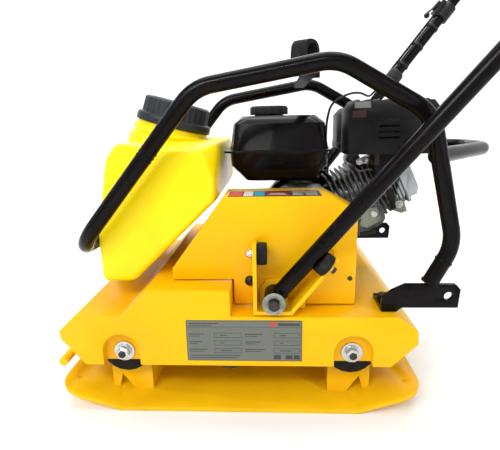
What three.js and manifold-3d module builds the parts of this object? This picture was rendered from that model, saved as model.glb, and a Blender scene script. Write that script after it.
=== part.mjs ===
// A walk-behind plate compactor: a vibrating base plate, a deck carried on rubber mounts,
// a petrol engine driving the exciter by belt, a water tank, a roll cage and a folding handle.
// Millimetres. +X points to the operator's end, +Y to the machine's right side, +Z up.
// The origin is on the ground, midway between the shock mounts and on the centre plane.
import * as THREE from "three";
import { ConvexGeometry } from "three/addons/geometries/ConvexGeometry.js";
import { mergeVertices } from "three/addons/utils/BufferGeometryUtils.js";
import Module from "manifold-3d";

const wasm = await Module();
wasm.setup();

// ---------------------------------------------------------------- driving dimensions
const GAP = 0.3;                 // clearance between pieces that rest on each other
const PLATE = { length: 650, width: 501, thickness: 8, flat: 212, rise: 37, corner: 45 };
const DECK = { width: 489, wall: 5, side: 6, bottom: 88.5, shelf: 181, raised: 228 };
const DECK_FRONT = -310;
const DECK_REAR = 309;
const MOUNT = { x: 202, z: 107, radius: 45, outer: 219.7, inner: 196.3 };
const ARCH = { radius: 33, wall: 3, depth: 18.5, plate: 6 };
const EXCITER = { x: -20, z: 72, radius: 50, bore: 38, half: 120 };
const SHAFT = { radius: 17, reach: 181 };
const BELT_Y = -155;
const BELT = { half: 8, drum: 55, pulley: 35 };
const CRANK = { x: 130, z: 300 };
const CYLINDER_TILT = THREE.MathUtils.degToRad(25);
const TUBE = 13.5;               // radius of the cage and handle tubes
const CAGE_Y = 218.4;
const GUARD = { near: -195.5, far: -92, wall: 2.5 };
const HUB = { x: 67, z: 208.5, y: 227.6, radius: 17, bolt: 6 };
const HANDLE_RISE = THREE.MathUtils.degToRad(51.2);
const HANDLE_SPLAY = 0.13;       // sideways spread per unit of handle length
const HANDLE = { bend: 820, grip: 1000, gripHalf: 225 };
const SPRINKLER = { x: -319, z: 82, radius: 8.5, half: 226 };
const CAP_TILT = THREE.MathUtils.degToRad(16);

// ---------------------------------------------------------------- finishes
const finish = (color, roughness, metalness) => ({ color, roughness, metalness });
const YELLOW = finish(0xf9c40b, 0.42, 0.0);
const TANK_YELLOW = finish(0xffdd00, 0.38, 0.0);
const BLACK = finish(0x141314, 0.3, 0.1);
const PLASTIC = finish(0x1d1f22, 0.5, 0.0);
const RUBBER = finish(0x26272a, 0.85, 0.0);
const ZINC = finish(0xb9bdc0, 0.32, 0.9);
const STEEL = finish(0x8d9093, 0.35, 0.95);
const CAST = finish(0x8a9086, 0.6, 0.7);
const CAST_DARK = finish(0x3a3c3e, 0.6, 0.5);
const DARK_BOLT = finish(0x1f1c1b, 0.4, 0.6);

const model = new THREE.Group();

// ---------------------------------------------------------------- geometry helpers

// Signed volume of a closed geometry: negative where its faces point in.
function signedVolume(geometry) {
  const shape = geometry.index ? geometry.toNonIndexed() : geometry;
  const p = shape.getAttribute("position");
  const a = new THREE.Vector3();
  const b = new THREE.Vector3();
  const c = new THREE.Vector3();
  let sum = 0;
  for (let i = 0; i < p.count; i += 3) {
    a.fromBufferAttribute(p, i);
    b.fromBufferAttribute(p, i + 1);
    c.fromBufferAttribute(p, i + 2);
    sum += a.dot(b.cross(c)) / 6;
  }
  return sum;
}

// A copy with only positions, merged vertices and faces that point out.
function clean(geometry) {
  const bare = geometry.clone();
  for (const name of Object.keys(bare.attributes)) {
    if (name !== "position") bare.deleteAttribute(name);
  }
  const merged = mergeVertices(bare, 1e-3);
  if (signedVolume(merged) < 0) {
    const index = merged.index;
    for (let i = 0; i < index.count; i += 3) {
      const first = index.getX(i);
      index.setX(i, index.getX(i + 2));
      index.setX(i + 2, first);
    }
  }
  return merged;
}

function toSolid(geometry) {
  const mesh = clean(geometry);
  const vertProperties = new Float32Array(mesh.getAttribute("position").array);
  const triVerts = new Uint32Array(mesh.index.array);
  return new wasm.Manifold(new wasm.Mesh({ numProp: 3, vertProperties, triVerts }));
}

function toGeometry(solid) {
  const mesh = solid.getMesh();
  const geometry = new THREE.BufferGeometry();
  geometry.setAttribute("position", new THREE.Float32BufferAttribute(mesh.vertProperties, 3));
  geometry.setIndex(Array.from(mesh.triVerts));
  return geometry;
}

const joined = (...pieces) => toGeometry(pieces.map(toSolid).reduce((a, b) => a.add(b)));
const cut = (body, ...tools) => toGeometry(tools.map(toSolid).reduce((a, b) => a.subtract(b),
  toSolid(body)));
const common = (a, b) => toGeometry(toSolid(a).intersect(toSolid(b)));

function mirroredY(geometry) {
  return clean(geometry.clone().scale(1, -1, 1));
}

function mirroredX(geometry) {
  return clean(geometry.clone().scale(-1, 1, 1));
}

// An outline of [x, y] corners, rounded to the given radius or to a corner's own third number.
function outline(points, radius = 0) {
  const corners = points.map(([x, y]) => new THREE.Vector2(x, y));
  const rounding = points.map(([, , own]) => own ?? radius);
  const shape = new THREE.Shape();
  corners.forEach((corner, i) => {
    const before = corners[(i + corners.length - 1) % corners.length];
    const after = corners[(i + 1) % corners.length];
    const reach = Math.min(rounding[i], before.distanceTo(corner) * 0.45, after.distanceTo(corner) * 0.45);
    if (!reach) {
      if (i === 0) shape.moveTo(corner.x, corner.y);
      else shape.lineTo(corner.x, corner.y);
      return;
    }
    const start = before.clone().sub(corner).setLength(reach).add(corner);
    const end = after.clone().sub(corner).setLength(reach).add(corner);
    if (i === 0) shape.moveTo(start.x, start.y);
    else shape.lineTo(start.x, start.y);
    shape.quadraticCurveTo(corner.x, corner.y, end.x, end.y);
  });
  shape.closePath();
  return shape;
}

const extrude = (shape, depth, steps = 4) =>
  new THREE.ExtrudeGeometry(shape, { depth, bevelEnabled: false, curveSegments: steps });

// Plates: an outline in two axes, run along the third between two places.
const alongY = (shape, y0, y1, steps) =>
  extrude(shape, y1 - y0, steps).rotateX(Math.PI / 2).translate(0, y1, 0);
const alongZ = (shape, z0, z1, steps) => extrude(shape, z1 - z0, steps).translate(0, 0, z0);

function alongX(shape, x0, x1, steps) {
  const turn = new THREE.Matrix4().makeBasis(
    new THREE.Vector3(0, 1, 0), new THREE.Vector3(0, 0, 1), new THREE.Vector3(1, 0, 0));
  return extrude(shape, x1 - x0, steps).applyMatrix4(turn).translate(x0, 0, 0);
}

function box(x0, x1, y0, y1, z0, z1) {
  return new THREE.BoxGeometry(x1 - x0, y1 - y0, z1 - z0)
    .translate((x0 + x1) / 2, (y0 + y1) / 2, (z0 + z1) / 2);
}

// A turned piece: [radius, height] pairs round an axis, from a base point.
function turned(profile, base, axis, segments = 16) {
  const points = profile.map(([r, h]) => new THREE.Vector2(r, h));
  const turn = new THREE.Quaternion().setFromUnitVectors(new THREE.Vector3(0, 1, 0),
    axis.clone().normalize());
  return clean(new THREE.LatheGeometry(points, segments)).applyQuaternion(turn).translate(base.x, base.y,
    base.z);
}

const X = new THREE.Vector3(1, 0, 0);
const Y = new THREE.Vector3(0, 1, 0);
const Z = new THREE.Vector3(0, 0, 1);
const at = (x, y, z) => new THREE.Vector3(x, y, z);

const rod = (base, axis, radius, length, segments) =>
  turned([[0, 0], [radius, 0], [radius, length], [0, length]], base, axis, segments);

const ring = (base, axis, inner, outer, length, segments) =>
  turned([[inner, 0], [outer, 0], [outer, length], [inner, length], [inner, 0]], base, axis, segments);

// A route through corners, with each bend rounded, sampled at its straights and along its bends.
class BentRoute extends THREE.Curve {
  constructor(corners, radius, bendSteps = 5) {
    super();
    this.stations = [corners[0].clone()];
    for (let i = 1; i < corners.length - 1; i += 1) {
      const before = corners[i - 1].clone().sub(corners[i]);
      const after = corners[i + 1].clone().sub(corners[i]);
      const turnAngle = Math.PI - before.angleTo(after);
      const reach = Math.min(radius * Math.tan(turnAngle / 2), before.length() * 0.48,
        after.length() * 0.48);
      const bend = new THREE.QuadraticBezierCurve3(
        before.setLength(reach).add(corners[i]), corners[i].clone(), after.setLength(reach).add(corners[i]));
      this.stations.push(...bend.getPoints(bendSteps));
    }
    this.stations.push(corners[corners.length - 1].clone());
  }

  get steps() {
    return this.stations.length - 1;
  }

  getPointAt(u, target = new THREE.Vector3()) {
    return target.copy(this.stations[Math.round(u * this.steps)]);
  }

  getTangentAt(u, target = new THREE.Vector3()) {
    const i = Math.round(u * this.steps);
    const next = this.stations[Math.min(i + 1, this.steps)];
    const last = this.stations[Math.max(i - 1, 0)];
    return target.subVectors(next, last).normalize();
  }
}

// A round bar that follows a bent route.
function tube(corners, radius, bendRadius, sides = 10, bendSteps = 3) {
  const route = new BentRoute(corners, bendRadius, bendSteps);
  const section = new THREE.Shape().absarc(0, 0, radius, 0, Math.PI * 2);
  return new THREE.ExtrudeGeometry(section, {
    extrudePath: route, steps: route.steps, curveSegments: sides / 2, bevelEnabled: false,
  });
}

// A flat strap of the given width and thickness that follows a bent route in the XZ plane.
function offsetPath(points, distance) {
  return points.map((point, i) => {
    const before = points[Math.max(i - 1, 0)];
    const after = points[Math.min(i + 1, points.length - 1)];
    const inDirection = new THREE.Vector2(point[0] - before[0], point[1] - before[1]).normalize();
    const outDirection = new THREE.Vector2(after[0] - point[0], after[1] - point[1]).normalize();
    if (i === 0) inDirection.copy(outDirection);
    if (i === points.length - 1) outDirection.copy(inDirection);
    const normal = new THREE.Vector2(-inDirection.y - outDirection.y,
      inDirection.x + outDirection.x).normalize();
    const stretch = distance / (normal.x * -inDirection.y + normal.y * inDirection.x);
    return [point[0] + normal.x * stretch, point[1] + normal.y * stretch];
  });
}

const strapShape = (points, thickness) => outline([...points, ...offsetPath(points, thickness).reverse()]);

function add(name, geometry, look, parent = model) {
  const mesh = new THREE.Mesh(clean(geometry), new THREE.MeshStandardMaterial(look));
  mesh.name = name;
  parent.add(mesh);
  return mesh;
}

// Places four or two copies of a piece made at the left front, each in a node of its own.
const SIDES = [["left", -1], ["right", 1]];
const ENDS = [["front", -1], ["rear", 1]];
const onSide = (geometry, side) => (side > 0 ? mirroredY(geometry) : geometry);
const onEnd = (geometry, end) => (end > 0 ? mirroredX(geometry) : geometry);

// ---------------------------------------------------------------- base plate and exciter

function basePlate() {
  const tip = PLATE.length / 2;
  const slope = Math.atan2(PLATE.rise, tip - PLATE.flat);
  const up = PLATE.thickness / Math.cos(slope / 2);
  const inner = PLATE.flat - PLATE.thickness * Math.tan(slope / 2);
  const side = alongY(outline([
    [-PLATE.flat, 0], [PLATE.flat, 0], [tip, PLATE.rise], [tip, PLATE.rise + up],
    [inner, PLATE.thickness], [-inner, PLATE.thickness], [-tip, PLATE.rise + up], [-tip, PLATE.rise],
  ]), -PLATE.width / 2, PLATE.width / 2);
  const half = PLATE.width / 2;
  const plan = alongZ(outline([[-tip, -half], [tip, -half], [tip, half], [-tip, half]], PLATE.corner),
    -1, 80, 6);
  const padHoles = [];
  for (const [, end] of ENDS) {
    for (const [, flank] of SIDES) padHoles.push(rod(at(end * 302, flank * 205, 0), Z, 4.5, 90, 12));
  }
  const brackets = [];
  for (const [, end] of ENDS) {
    for (const [, flank] of SIDES) brackets.push(onSide(onEnd(mountBracket(), end), flank));
  }
  return joined(cut(common(side, plan), ...padHoles), ...brackets);
}

// A folded bracket welded on the plate, at the front left: a web notched where the plate bends up.
function mountBracket() {
  const face = -MOUNT.inner + GAP;
  const foot = PLATE.thickness - 1;
  const web = alongY(outline([
    [-165, foot], [-200, foot], [-223, 40], [-230, 13], [-242, 15], [-242, 150], [-234, 158], [-165, 158],
  ]), face, face + 6);
  const inside = box(-171, -165, face, -132, foot, 158);
  const top = box(-234, -165, face, -150, 152, 158);
  const bore = rod(at(-MOUNT.x, face - 1, MOUNT.z), Y, 7, 12, 16);
  return cut(joined(web, inside, top), bore);
}

function exciterHousing() {
  const { x, z, radius, bore, half } = EXCITER;
  const floor = PLATE.thickness + GAP;
  const barrel = rod(at(x, -half, z), Y, radius, 2 * half, 20);
  const saddle = box(x - 46, x + 46, -half + 8, half - 8, floor, z - 10);
  const feet = box(x - 78, x + 78, -half + 2, half - 2, floor, floor + 14);
  return cut(joined(barrel, saddle, feet), rod(at(x, -half - 1, z), Y, bore, 2 * half - 9, 20));
}

// The cover on the belt side, with its hole for the shaft.
function exciterCover() {
  const { x, z, radius, half } = EXCITER;
  const hole = SHAFT.radius + 2 * GAP;
  return turned([
    [hole, 0], [radius, 0], [radius, 8], [radius - 12, 13], [hole, 13], [hole, 0],
  ], at(x, -half - GAP, z), at(0, -1, 0), 20);
}

function eccentricShaft() {
  const { x, z, half } = EXCITER;
  const shaft = rod(at(x, -SHAFT.reach, z), Y, SHAFT.radius, SHAFT.reach + half - 14, 24);
  const lobe = new THREE.Shape().absarc(0, 0, 33, Math.PI, Math.PI * 2);
  const weight = alongY(lobe, -70, 70, 12).translate(x, 0, z - 2);
  return joined(shaft, weight);
}

function groovedWheel(radius, bore, half, centre) {
  const lip = radius + 4;
  return turned([
    [bore, -half - 4], [lip, -half - 4], [lip, -half - 1], [radius - 5, -half + 3],
    [radius - 5, half - 3], [lip, half + 1], [lip, half + 4], [bore, half + 4], [bore, -half - 4],
  ], centre, Y, 20);
}

function driveBelt() {
  const low = new THREE.Vector2(EXCITER.x, EXCITER.z);
  const high = new THREE.Vector2(CRANK.x, CRANK.z);
  const loop = (lowRadius, highRadius) => {
    const span = high.clone().sub(low);
    const lean = Math.acos((lowRadius - highRadius) / span.length());
    const shape = new THREE.Shape();
    shape.absarc(low.x, low.y, lowRadius, span.angle() + lean, span.angle() - lean + Math.PI * 2);
    shape.absarc(high.x, high.y, highRadius, span.angle() - lean, span.angle() + lean);
    return shape;
  };
  const outer = alongY(loop(BELT.pulley + 4, BELT.drum + 4), BELT_Y - 4.4, BELT_Y + 4.4, 10);
  const inner = alongY(loop(BELT.pulley - 4.6, BELT.drum - 4.6), BELT_Y - 9, BELT_Y + 9, 10);
  return cut(outer, inner);
}

add("base_plate", basePlate(), YELLOW);
add("exciter_housing", exciterHousing(), YELLOW);
add("eccentric_shaft", eccentricShaft(), STEEL);
add("exciter_pulley", groovedWheel(BELT.pulley, SHAFT.radius + GAP, BELT.half, at(EXCITER.x, BELT_Y,
  EXCITER.z)), CAST_DARK);
add("drive_belt", driveBelt(), RUBBER);
add("exciter_cover", exciterCover(), YELLOW);
for (const [side, sign] of SIDES) {
  const bearing = ring(at(EXCITER.x, -EXCITER.half + 14, EXCITER.z), Y, SHAFT.radius + GAP,
    EXCITER.bore - GAP, 20, 20);
  add(`exciter_bearing_${side}`, onSide(bearing, sign), STEEL);
}

// ---------------------------------------------------------------- shock mounts

// The rubber buffer between the bracket and the deck, with its waist and bonded end plates.
function shockMount() {
  const { radius } = MOUNT;
  const length = MOUNT.outer - MOUNT.inner;
  return turned([
    [0, 0], [radius, 0], [radius, 3], [radius - 3, length / 2], [radius, length - 3], [radius,
      length], [0, length],
  ], at(-MOUNT.x, -MOUNT.outer, MOUNT.z), Y, 20);
}

for (const [end, along] of ENDS) {
  for (const [side, sign] of SIDES) {
    const place = (geometry) => onSide(onEnd(geometry, along), sign);
    add(`shock_mount_${end}_${side}`, place(shockMount()), RUBBER);
  }
}

// ---------------------------------------------------------------- deck

const deckOutline = (inset) => {
  const { bottom, shelf, raised } = DECK;
  const t = inset;
  const low = inset ? bottom - 20 : bottom;
  return outline([
    [-268 + t * 1.5, low], [-268 + t * 0.6, bottom], [-307 + t * 1.3, 137], [DECK_FRONT + t * 1.2, 152],
    [-280 + t * 0.5, shelf - t], [-197 + t * 0.4, shelf - t], [-150 + t * 0.4, raised - t], [-7 - t,
      raised - t],
    [-7 - t, shelf - t], [275 - t * 0.5, shelf - t], [308 - t, 156], [DECK_REAR - t, 131],
    [266 - t * 0.6, bottom], [266 - t * 1.5, low],
  ]);
};

function archOutline(radius, bottom) {
  const { z } = MOUNT;
  const shape = new THREE.Shape();
  shape.moveTo(-MOUNT.x + radius, bottom);
  shape.lineTo(-MOUNT.x - radius, bottom);
  shape.absarc(-MOUNT.x, z + 7, radius, Math.PI, 0, true);
  shape.closePath();
  return shape;
}

function deckFrame() {
  const half = DECK.width / 2;
  const shell = alongY(deckOutline(0), -half, half);
  const hollow = alongY(deckOutline(DECK.wall), -half + DECK.side, half - DECK.side);
  const beltSlot = box(-20, 192, BELT_Y - 20, BELT_Y + 20, 160, 206);
  const enginePad = box(50, 232, -84, 84, DECK.shelf - 2, DECK.shelf + 10);
  let deck = toSolid(shell).subtract(toSolid(hollow)).subtract(toSolid(beltSlot)).add(toSolid(enginePad));
  const back = -half + ARCH.depth + ARCH.plate;
  const slot = new THREE.Shape();
  slot.moveTo(-MOUNT.x + 7, 70);
  slot.lineTo(-MOUNT.x - 7, 70);
  slot.absarc(-MOUNT.x, MOUNT.z, 7, Math.PI, 0, true);
  slot.closePath();
  const pocket = alongY(archOutline(ARCH.radius + ARCH.wall, DECK.bottom), -half + 1, back, 8);
  const opening = alongY(archOutline(ARCH.radius, 60), -half - 1, back - ARCH.plate, 8);
  const through = alongY(slot, -half, back + 1, 8);
  for (const [, end] of ENDS) {
    for (const [, side] of SIDES) {
      const place = (geometry) => toSolid(onSide(onEnd(geometry, end), side));
      deck = deck.add(place(pocket)).subtract(place(opening)).subtract(place(through));
    }
  }
  return toGeometry(deck);
}

add("deck_frame", deckFrame(), YELLOW);

// ---------------------------------------------------------------- belt guard

function beltGuard() {
  const { near, far, wall } = GUARD;
  const outer = alongY(outline([
    [-113, 230.5], [-113, 251], [-19, 377], [162, 377], [210, 350], [210, 183.5], [-4, 183.5], [-4, 230.5],
  ]), near, far);
  const w = wall;
  const hollow = alongY(outline([
    [-113 + w, 210], [-113 + w, 251 - w / 3], [-19 + w / 2, 377 - w], [162 - w / 3, 377 - w], [210 - w,
      350 - w / 2],
    [210 - w, 170], [-4 + w, 170], [-4 + w, 210],
  ]), near + wall, far + 1);
  const beltGap = box(-20, 2, BELT_Y - 14, BELT_Y + 14, 180, 206);
  return cut(outer, hollow, beltGap);
}

add("belt_guard", beltGuard(), YELLOW);

// ---------------------------------------------------------------- handle, its pivots and stops

const handleDirection = at(Math.cos(HANDLE_RISE), -HANDLE_SPLAY, Math.sin(HANDLE_RISE));
const alongHandle = (distance, side = -1) =>
  at(HUB.x + distance * handleDirection.x, side * (HUB.y + distance * HANDLE_SPLAY),
    HUB.z + distance * handleDirection.z);
const acrossHandle = at(Math.sin(HANDLE_RISE), 0, -Math.cos(HANDLE_RISE));
const handleStop = (distance, offset) => [
  HUB.x + distance * Math.cos(HANDLE_RISE) + offset * acrossHandle.x,
  HUB.z + distance * Math.sin(HANDLE_RISE) + offset * acrossHandle.z,
];

function handleFrame() {
  const crossbar = alongHandle(HANDLE.grip);
  const route = [
    alongHandle(4), alongHandle(HANDLE.bend), at(crossbar.x, -HANDLE.gripHalf, crossbar.z),
    at(crossbar.x, HANDLE.gripHalf, crossbar.z), alongHandle(HANDLE.bend, 1), alongHandle(4, 1),
  ];
  const loop = tube(route, TUBE, 120, 10, 4);
  const boss = rod(at(HUB.x, -249, HUB.z), Y, HUB.radius, 45, 24);
  const bore = rod(at(HUB.x, -260, HUB.z), Y, HUB.bolt + 1, 520, 16);
  return cut(joined(loop, boss, mirroredY(boss)), bore);
}

// A strap bent into a U that stops the handle in both directions, with the lug that holds its pivot.
function handleBracket() {
  const inner = [[38.5, 304], [38.5, 191], [94, 191], handleStop(124, 31.4)];
  const strap = alongY(strapShape(inner, -6.5), -244, -196.2);
  const gusset = alongY(outline([[90, 185], [121, 185], [121, 220], handleStop(30, 35)]), -216, -210);
  const lug = alongY(outline([[42, 188], [92, 188], [92, 215], [80, 232], [54, 232], [42, 215]]), -203.5,
    -196.2);
  return cut(joined(strap, gusset, lug), rod(at(HUB.x, -206, HUB.z), Y, HUB.bolt + GAP, 12, 16));
}

// The pivot bolt with its washer against the end of the handle's boss.
function pivotBolt() {
  const shank = rod(at(HUB.x, -252, HUB.z), Y, HUB.bolt, 55, 16);
  const washer = rod(at(HUB.x, -251.5, HUB.z), Y, 19, 2.2, 18);
  const head = turned([[0, 0], [10, 0], [10, 11], [0, 11]], at(HUB.x, -251.4, HUB.z), at(0, -1, 0), 6);
  return joined(shank, washer, head);
}

function buffer(base, axis, length) {
  return turned([[0, 0], [19, 0], [19.6, length / 2], [18.4, length], [0, length]], base, axis, 24);
}

function stopBuffers() {
  const [rearX, rearZ] = handleStop(103, 31 - GAP);
  return {
    front: buffer(at(38.5 + GAP, -220, 286), X, 17),
    rear: buffer(at(rearX, -HUB.y - 12, rearZ), acrossHandle.clone().negate(), 17),
  };
}

add("handle", handleFrame(), BLACK);
add("grip_sleeve", ring(at(alongHandle(HANDLE.grip).x, -110, alongHandle(HANDLE.grip).z), Y, TUBE + GAP,
  17, 220, 20), RUBBER);
for (const [side, sign] of SIDES) {
  const stops = stopBuffers();
  add(`handle_bracket_${side}`, onSide(handleBracket(), sign), YELLOW);
  add(`handle_pivot_bolt_${side}`, onSide(pivotBolt(), sign), DARK_BOLT);
  add(`front_buffer_${side}`, onSide(stops.front, sign), RUBBER);
  add(`rear_buffer_${side}`, onSide(stops.rear, sign), RUBBER);
}

// ---------------------------------------------------------------- roll cage, lifting eye and feet

const CAGE = [[330.5, 238], [361.5, 299], [311.2, 508.5], [166.2, 591.4], [-54.7, 554.3], [-278, 283]];
const CROSSBAR = { x0: 121, x1: 146, z0: 580, z1: 588 };

function cageTube(radius = TUBE) {
  const left = CAGE.map(([x, z]) => at(x, -CAGE_Y, z));
  const right = CAGE.map(([x, z]) => at(x, CAGE_Y, z)).reverse();
  return tube([...left, ...right], radius, 75);
}

// A flat bar between the top rails with a strap loop welded on it, set at an angle to the bar.
function liftingBar() {
  const bar = box(CROSSBAR.x0, CROSSBAR.x1, -204.2, 204.2, CROSSBAR.z0, CROSSBAR.z1);
  const outer = alongX(outline([[-31, -2, 0], [-27, 68, 26], [27, 68, 26], [31, -2, 0]]), -17, 17, 6);
  const inner = alongX(outline([[-24, -6, 0], [-20, 61, 20], [20, 61, 20], [24, -6, 0]]), -18, 18, 6);
  const loop = cut(outer, inner).rotateZ(THREE.MathUtils.degToRad(-35)).translate(133.5, 0, CROSSBAR.z1);
  return joined(bar, loop);
}

// The bowed tube between the rear legs that keeps knocks off the engine.
function rearGuard() {
  const route = [at(324, -CAGE_Y, 443), at(478, -45, 443), at(478, 45, 443), at(324, CAGE_Y, 443)];
  return cut(tube(route, TUBE - 0.5, 70), cageTube(TUBE + GAP));
}

// A vertical plate under a rear leg, with a foot that is bolted to the deck.
function footPlate() {
  const foot = DECK.shelf + GAP;
  const upright = alongY(outline([
    [250, foot], [274.5, foot], [284, 189], [377, 189], [379, 222], [371, 231], [288, 231], [266,
      220], [250, 206],
  ]), -CAGE_Y - 4, -CAGE_Y + 4);
  const base = box(250, 274.5, -CAGE_Y - 4, -160, foot, foot + 8);
  const wheelHole = rod(at(360, -CAGE_Y - 5, 210), Y, 7.5, 10, 20);
  return cut(joined(upright, base), wheelHole, rod(at(262, -184, foot - 1), Z, 5.5, 12, 16));
}

// A bent plate that carries the cage's front cross tube on the deck.
function frontStay() {
  const foot = DECK.shelf + GAP;
  const top = 283 - TUBE - GAP;
  return joined(box(-279, -245, -40, 40, foot, foot + 6), box(-279, -273, -40, 40, foot, top));
}

add("roll_cage", cageTube(), BLACK);
add("lifting_bar", liftingBar(), BLACK);
add("rear_guard", rearGuard(), BLACK);
add("front_stay", frontStay(), BLACK);
for (const [side, sign] of SIDES) add(`foot_plate_${side}`, onSide(footPlate(), sign), BLACK);

// ---------------------------------------------------------------- water tank and sprinkler

const capAxis = at(Math.sin(CAP_TILT), 0, Math.cos(CAP_TILT));
const CAP = at(-137, 0, 506);    // centre of the neck's rim

function hull(levels) {
  return new ConvexGeometry(levels.flat());
}

function waterTank() {
  const flank = [[-246, 222], [-188, 222], [-118, 289], [-33, 372], [-33, 398], [-56, 457], [-107, 458],
    [-247, 304]];
  const centre = [[-254, 222], [-190, 218], [-120, 284], [-32, 368], [-32, 468], [-222, 468], [-244,
    440], [-258, 300]];
  const body = hull([
    flank.map(([x, z]) => at(x, -185, z)), flank.map(([x, z]) => at(x, 185, z)),
    centre.map(([x, z]) => at(x, -128, z)), centre.map(([x, z]) => at(x, 128, z)),
  ]);
  const neck = turned([
    [0, -80], [84, -80], [84, -42], [80, -36], [74, -33], [78, -28], [78, -20], [72, -16], [70, 0], [0, 0],
  ], CAP, capAxis, 24);
  const above = box(-260, -20, -185, 185, 400, 560);
  return joined(body, common(neck, above));
}

function waterCap() {
  return turned([
    [0, 1], [71.5, 1], [71.5, -10], [76, -10], [76, 0], [74, 6], [67, 8], [65, 36], [60, 40], [50,
      36], [0, 36],
  ], CAP, capAxis, 24);
}

// The tap under the tank, with its outlet to the front.
function waterTap() {
  const body = rod(at(-222, 130, 193), Z, 9, 24.7, 20);
  return joined(body, rod(at(-222, 130, 203), at(-1, 0, 0), 6, 22, 14));
}

function tapLever() {
  return joined(rod(at(-222, 130, 186), Z, 8, 6.7, 20), box(-224.5, -219.5, 134, 164, 186.5, 190));
}

function sprinklerBar() {
  const { x, z, radius, half } = SPRINKLER;
  const pipe = rod(at(x, -half, z), Y, radius, 2 * half, 18);
  const holes = [];
  for (let y = -200; y <= 200; y += 50) holes.push(rod(at(x, y, z - radius - 1), Z, 1.5, 8, 6));
  const tabs = SIDES.map(([, side]) => onSide(alongY(outline([
    [x + 2, z - 4], [x + 2, z + 6], [-292.6, 117], [-283.2, 105.6],
  ]), -190, -184), side));
  const inlet = rod(at(x, 130, z), Z, 6, 20, 14);
  return cut(joined(pipe, inlet, ...tabs), ...holes);
}

function sprinklerHose() {
  return tube([at(-244.4, 130, 203), at(-319, 130, 203), at(-319, 130, SPRINKLER.z + 20.3)], 6, 40, 8, 4);
}

add("water_tank", waterTank(), TANK_YELLOW);
add("water_cap", waterCap(), PLASTIC);
add("water_tap", waterTap(), ZINC);
add("tap_lever", tapLever(), PLASTIC);
add("sprinkler_bar", sprinklerBar(), YELLOW);
add("sprinkler_hose", sprinklerHose(), RUBBER);

// ---------------------------------------------------------------- engine

// Turns geometry built along +X from the crank so that it lies along the cylinder's axis.
const onCylinder = (geometry) => geometry.clone().rotateY(-CYLINDER_TILT).translate(CRANK.x, 0, CRANK.z);

function crankcase() {
  const floor = DECK.shelf + 10 + GAP;
  const flange = box(56, 224, -80, 78, floor, floor + 11);
  const body = alongY(outline([
    [68, floor + 4], [206, floor + 4], [206, 290], [190, 362], [90, 362], [68, 330],
  ], 14), -88, 68);
  const cover = rod(at(CRANK.x, -98, CRANK.z), Y, 56, 30, 20);
  const cylinderSide = onCylinder(box(66 - GAP, 200, -90, 90, -75, 75));
  return cut(joined(cut(joined(body, cover), cylinderSide), flange), rod(at(CRANK.x, -99, CRANK.z), Y,
    12.5, 200, 24));
}

function crankshaft() {
  const shaft = rod(at(CRANK.x, -186, CRANK.z), Y, 12, 310, 24);
  const hub = turned([[0, -10], [24, -10], [24, -8], [41, -8], [41, 9], [24, 9], [24, 24], [0, 24]],
    at(CRANK.x, BELT_Y, CRANK.z), Y, 24);
  return joined(shaft, hub);
}

function clutchDrum() {
  const lip = BELT.drum + 4;
  const floor = BELT.drum - 5;
  return turned([
    [12.6, -19], [lip, -19], [lip, -9], [floor, -5], [floor, 5], [lip, 9], [lip, 13], [43, 13], [43, -14],
    [12.6, -14], [12.6, -19],
  ], at(CRANK.x, BELT_Y, CRANK.z), Y, 20);
}

function flywheel() {
  const wheel = turned([
    [12.3, 0], [70, 0], [70, 20], [52, 24], [30, 14], [12.3, 14], [12.3, 0],
  ], at(CRANK.x, 76, CRANK.z), Y, 20);
  const blades = [];
  for (let i = 0; i < 8; i += 1) {
    const blade = box(50, 68, -1.5, 1.5, 0, 14).rotateX(-Math.PI / 2).translate(0, 94, 0);
    blades.push(blade.rotateY((i * Math.PI) / 4).translate(CRANK.x, 0, CRANK.z));
  }
  return joined(wheel, ...blades);
}

function cylinder() {
  const barrel = onCylinder(rod(at(66, -2, 0), X, 42, 99, 18));
  const fins = [];
  for (let reach = 76; reach < 160; reach += 10) {
    const fin = alongX(outline([[-62, -58], [58, -58], [58, 60], [-62, 60]], 14), reach, reach + 3, 2);
    fins.push(onCylinder(fin));
  }
  const stay = alongY(outline([
    [229, 288], [239, 282], [277, 296], [289, 308], [285, 330], [271, 342], [251, 338],
  ], 8), -74, -50);
  const pocket = rod(at(265, -76, 320), Y, 12, 6, 20);
  return joined(barrel, ...fins, cut(stay, pocket));
}

function cylinderHead() {
  const block = onCylinder(alongX(outline([[-62, -56], [58, -56], [58, 54], [-62, 54]], 12), 165 + GAP,
    186, 2));
  const fins = [];
  for (let reach = 189; reach < 205; reach += 7) {
    fins.push(onCylinder(alongX(outline([[-62, -50], [58, -50], [58, 50], [-62, 50]], 14), reach,
      reach + 3, 2)));
  }
  const core = onCylinder(box(185, 207, -46, 44, -44, 44));
  return joined(block, core, ...fins);
}

function valveCover() {
  const rim = onCylinder(alongX(outline([[-54, -56], [52, -56], [52, 48], [-54, 48]], 12), 207 + GAP,
    213, 2));
  const dome = onCylinder(hull([[208, 46], [228, 46], [238, 36]].map(([reach, half]) => [
    at(reach, -half, -half), at(reach, half, -half), at(reach, half, half), at(reach, -half, half),
  ])));
  return joined(rim, dome);
}

function slab(x0, x1, y0, y1, z, corner) {
  const shape = outline([[x0, y0], [x1, y0], [x1, y1], [x0, y1]], corner);
  return shape.getPoints(2).map((p) => at(p.x, p.y, z));
}

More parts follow.
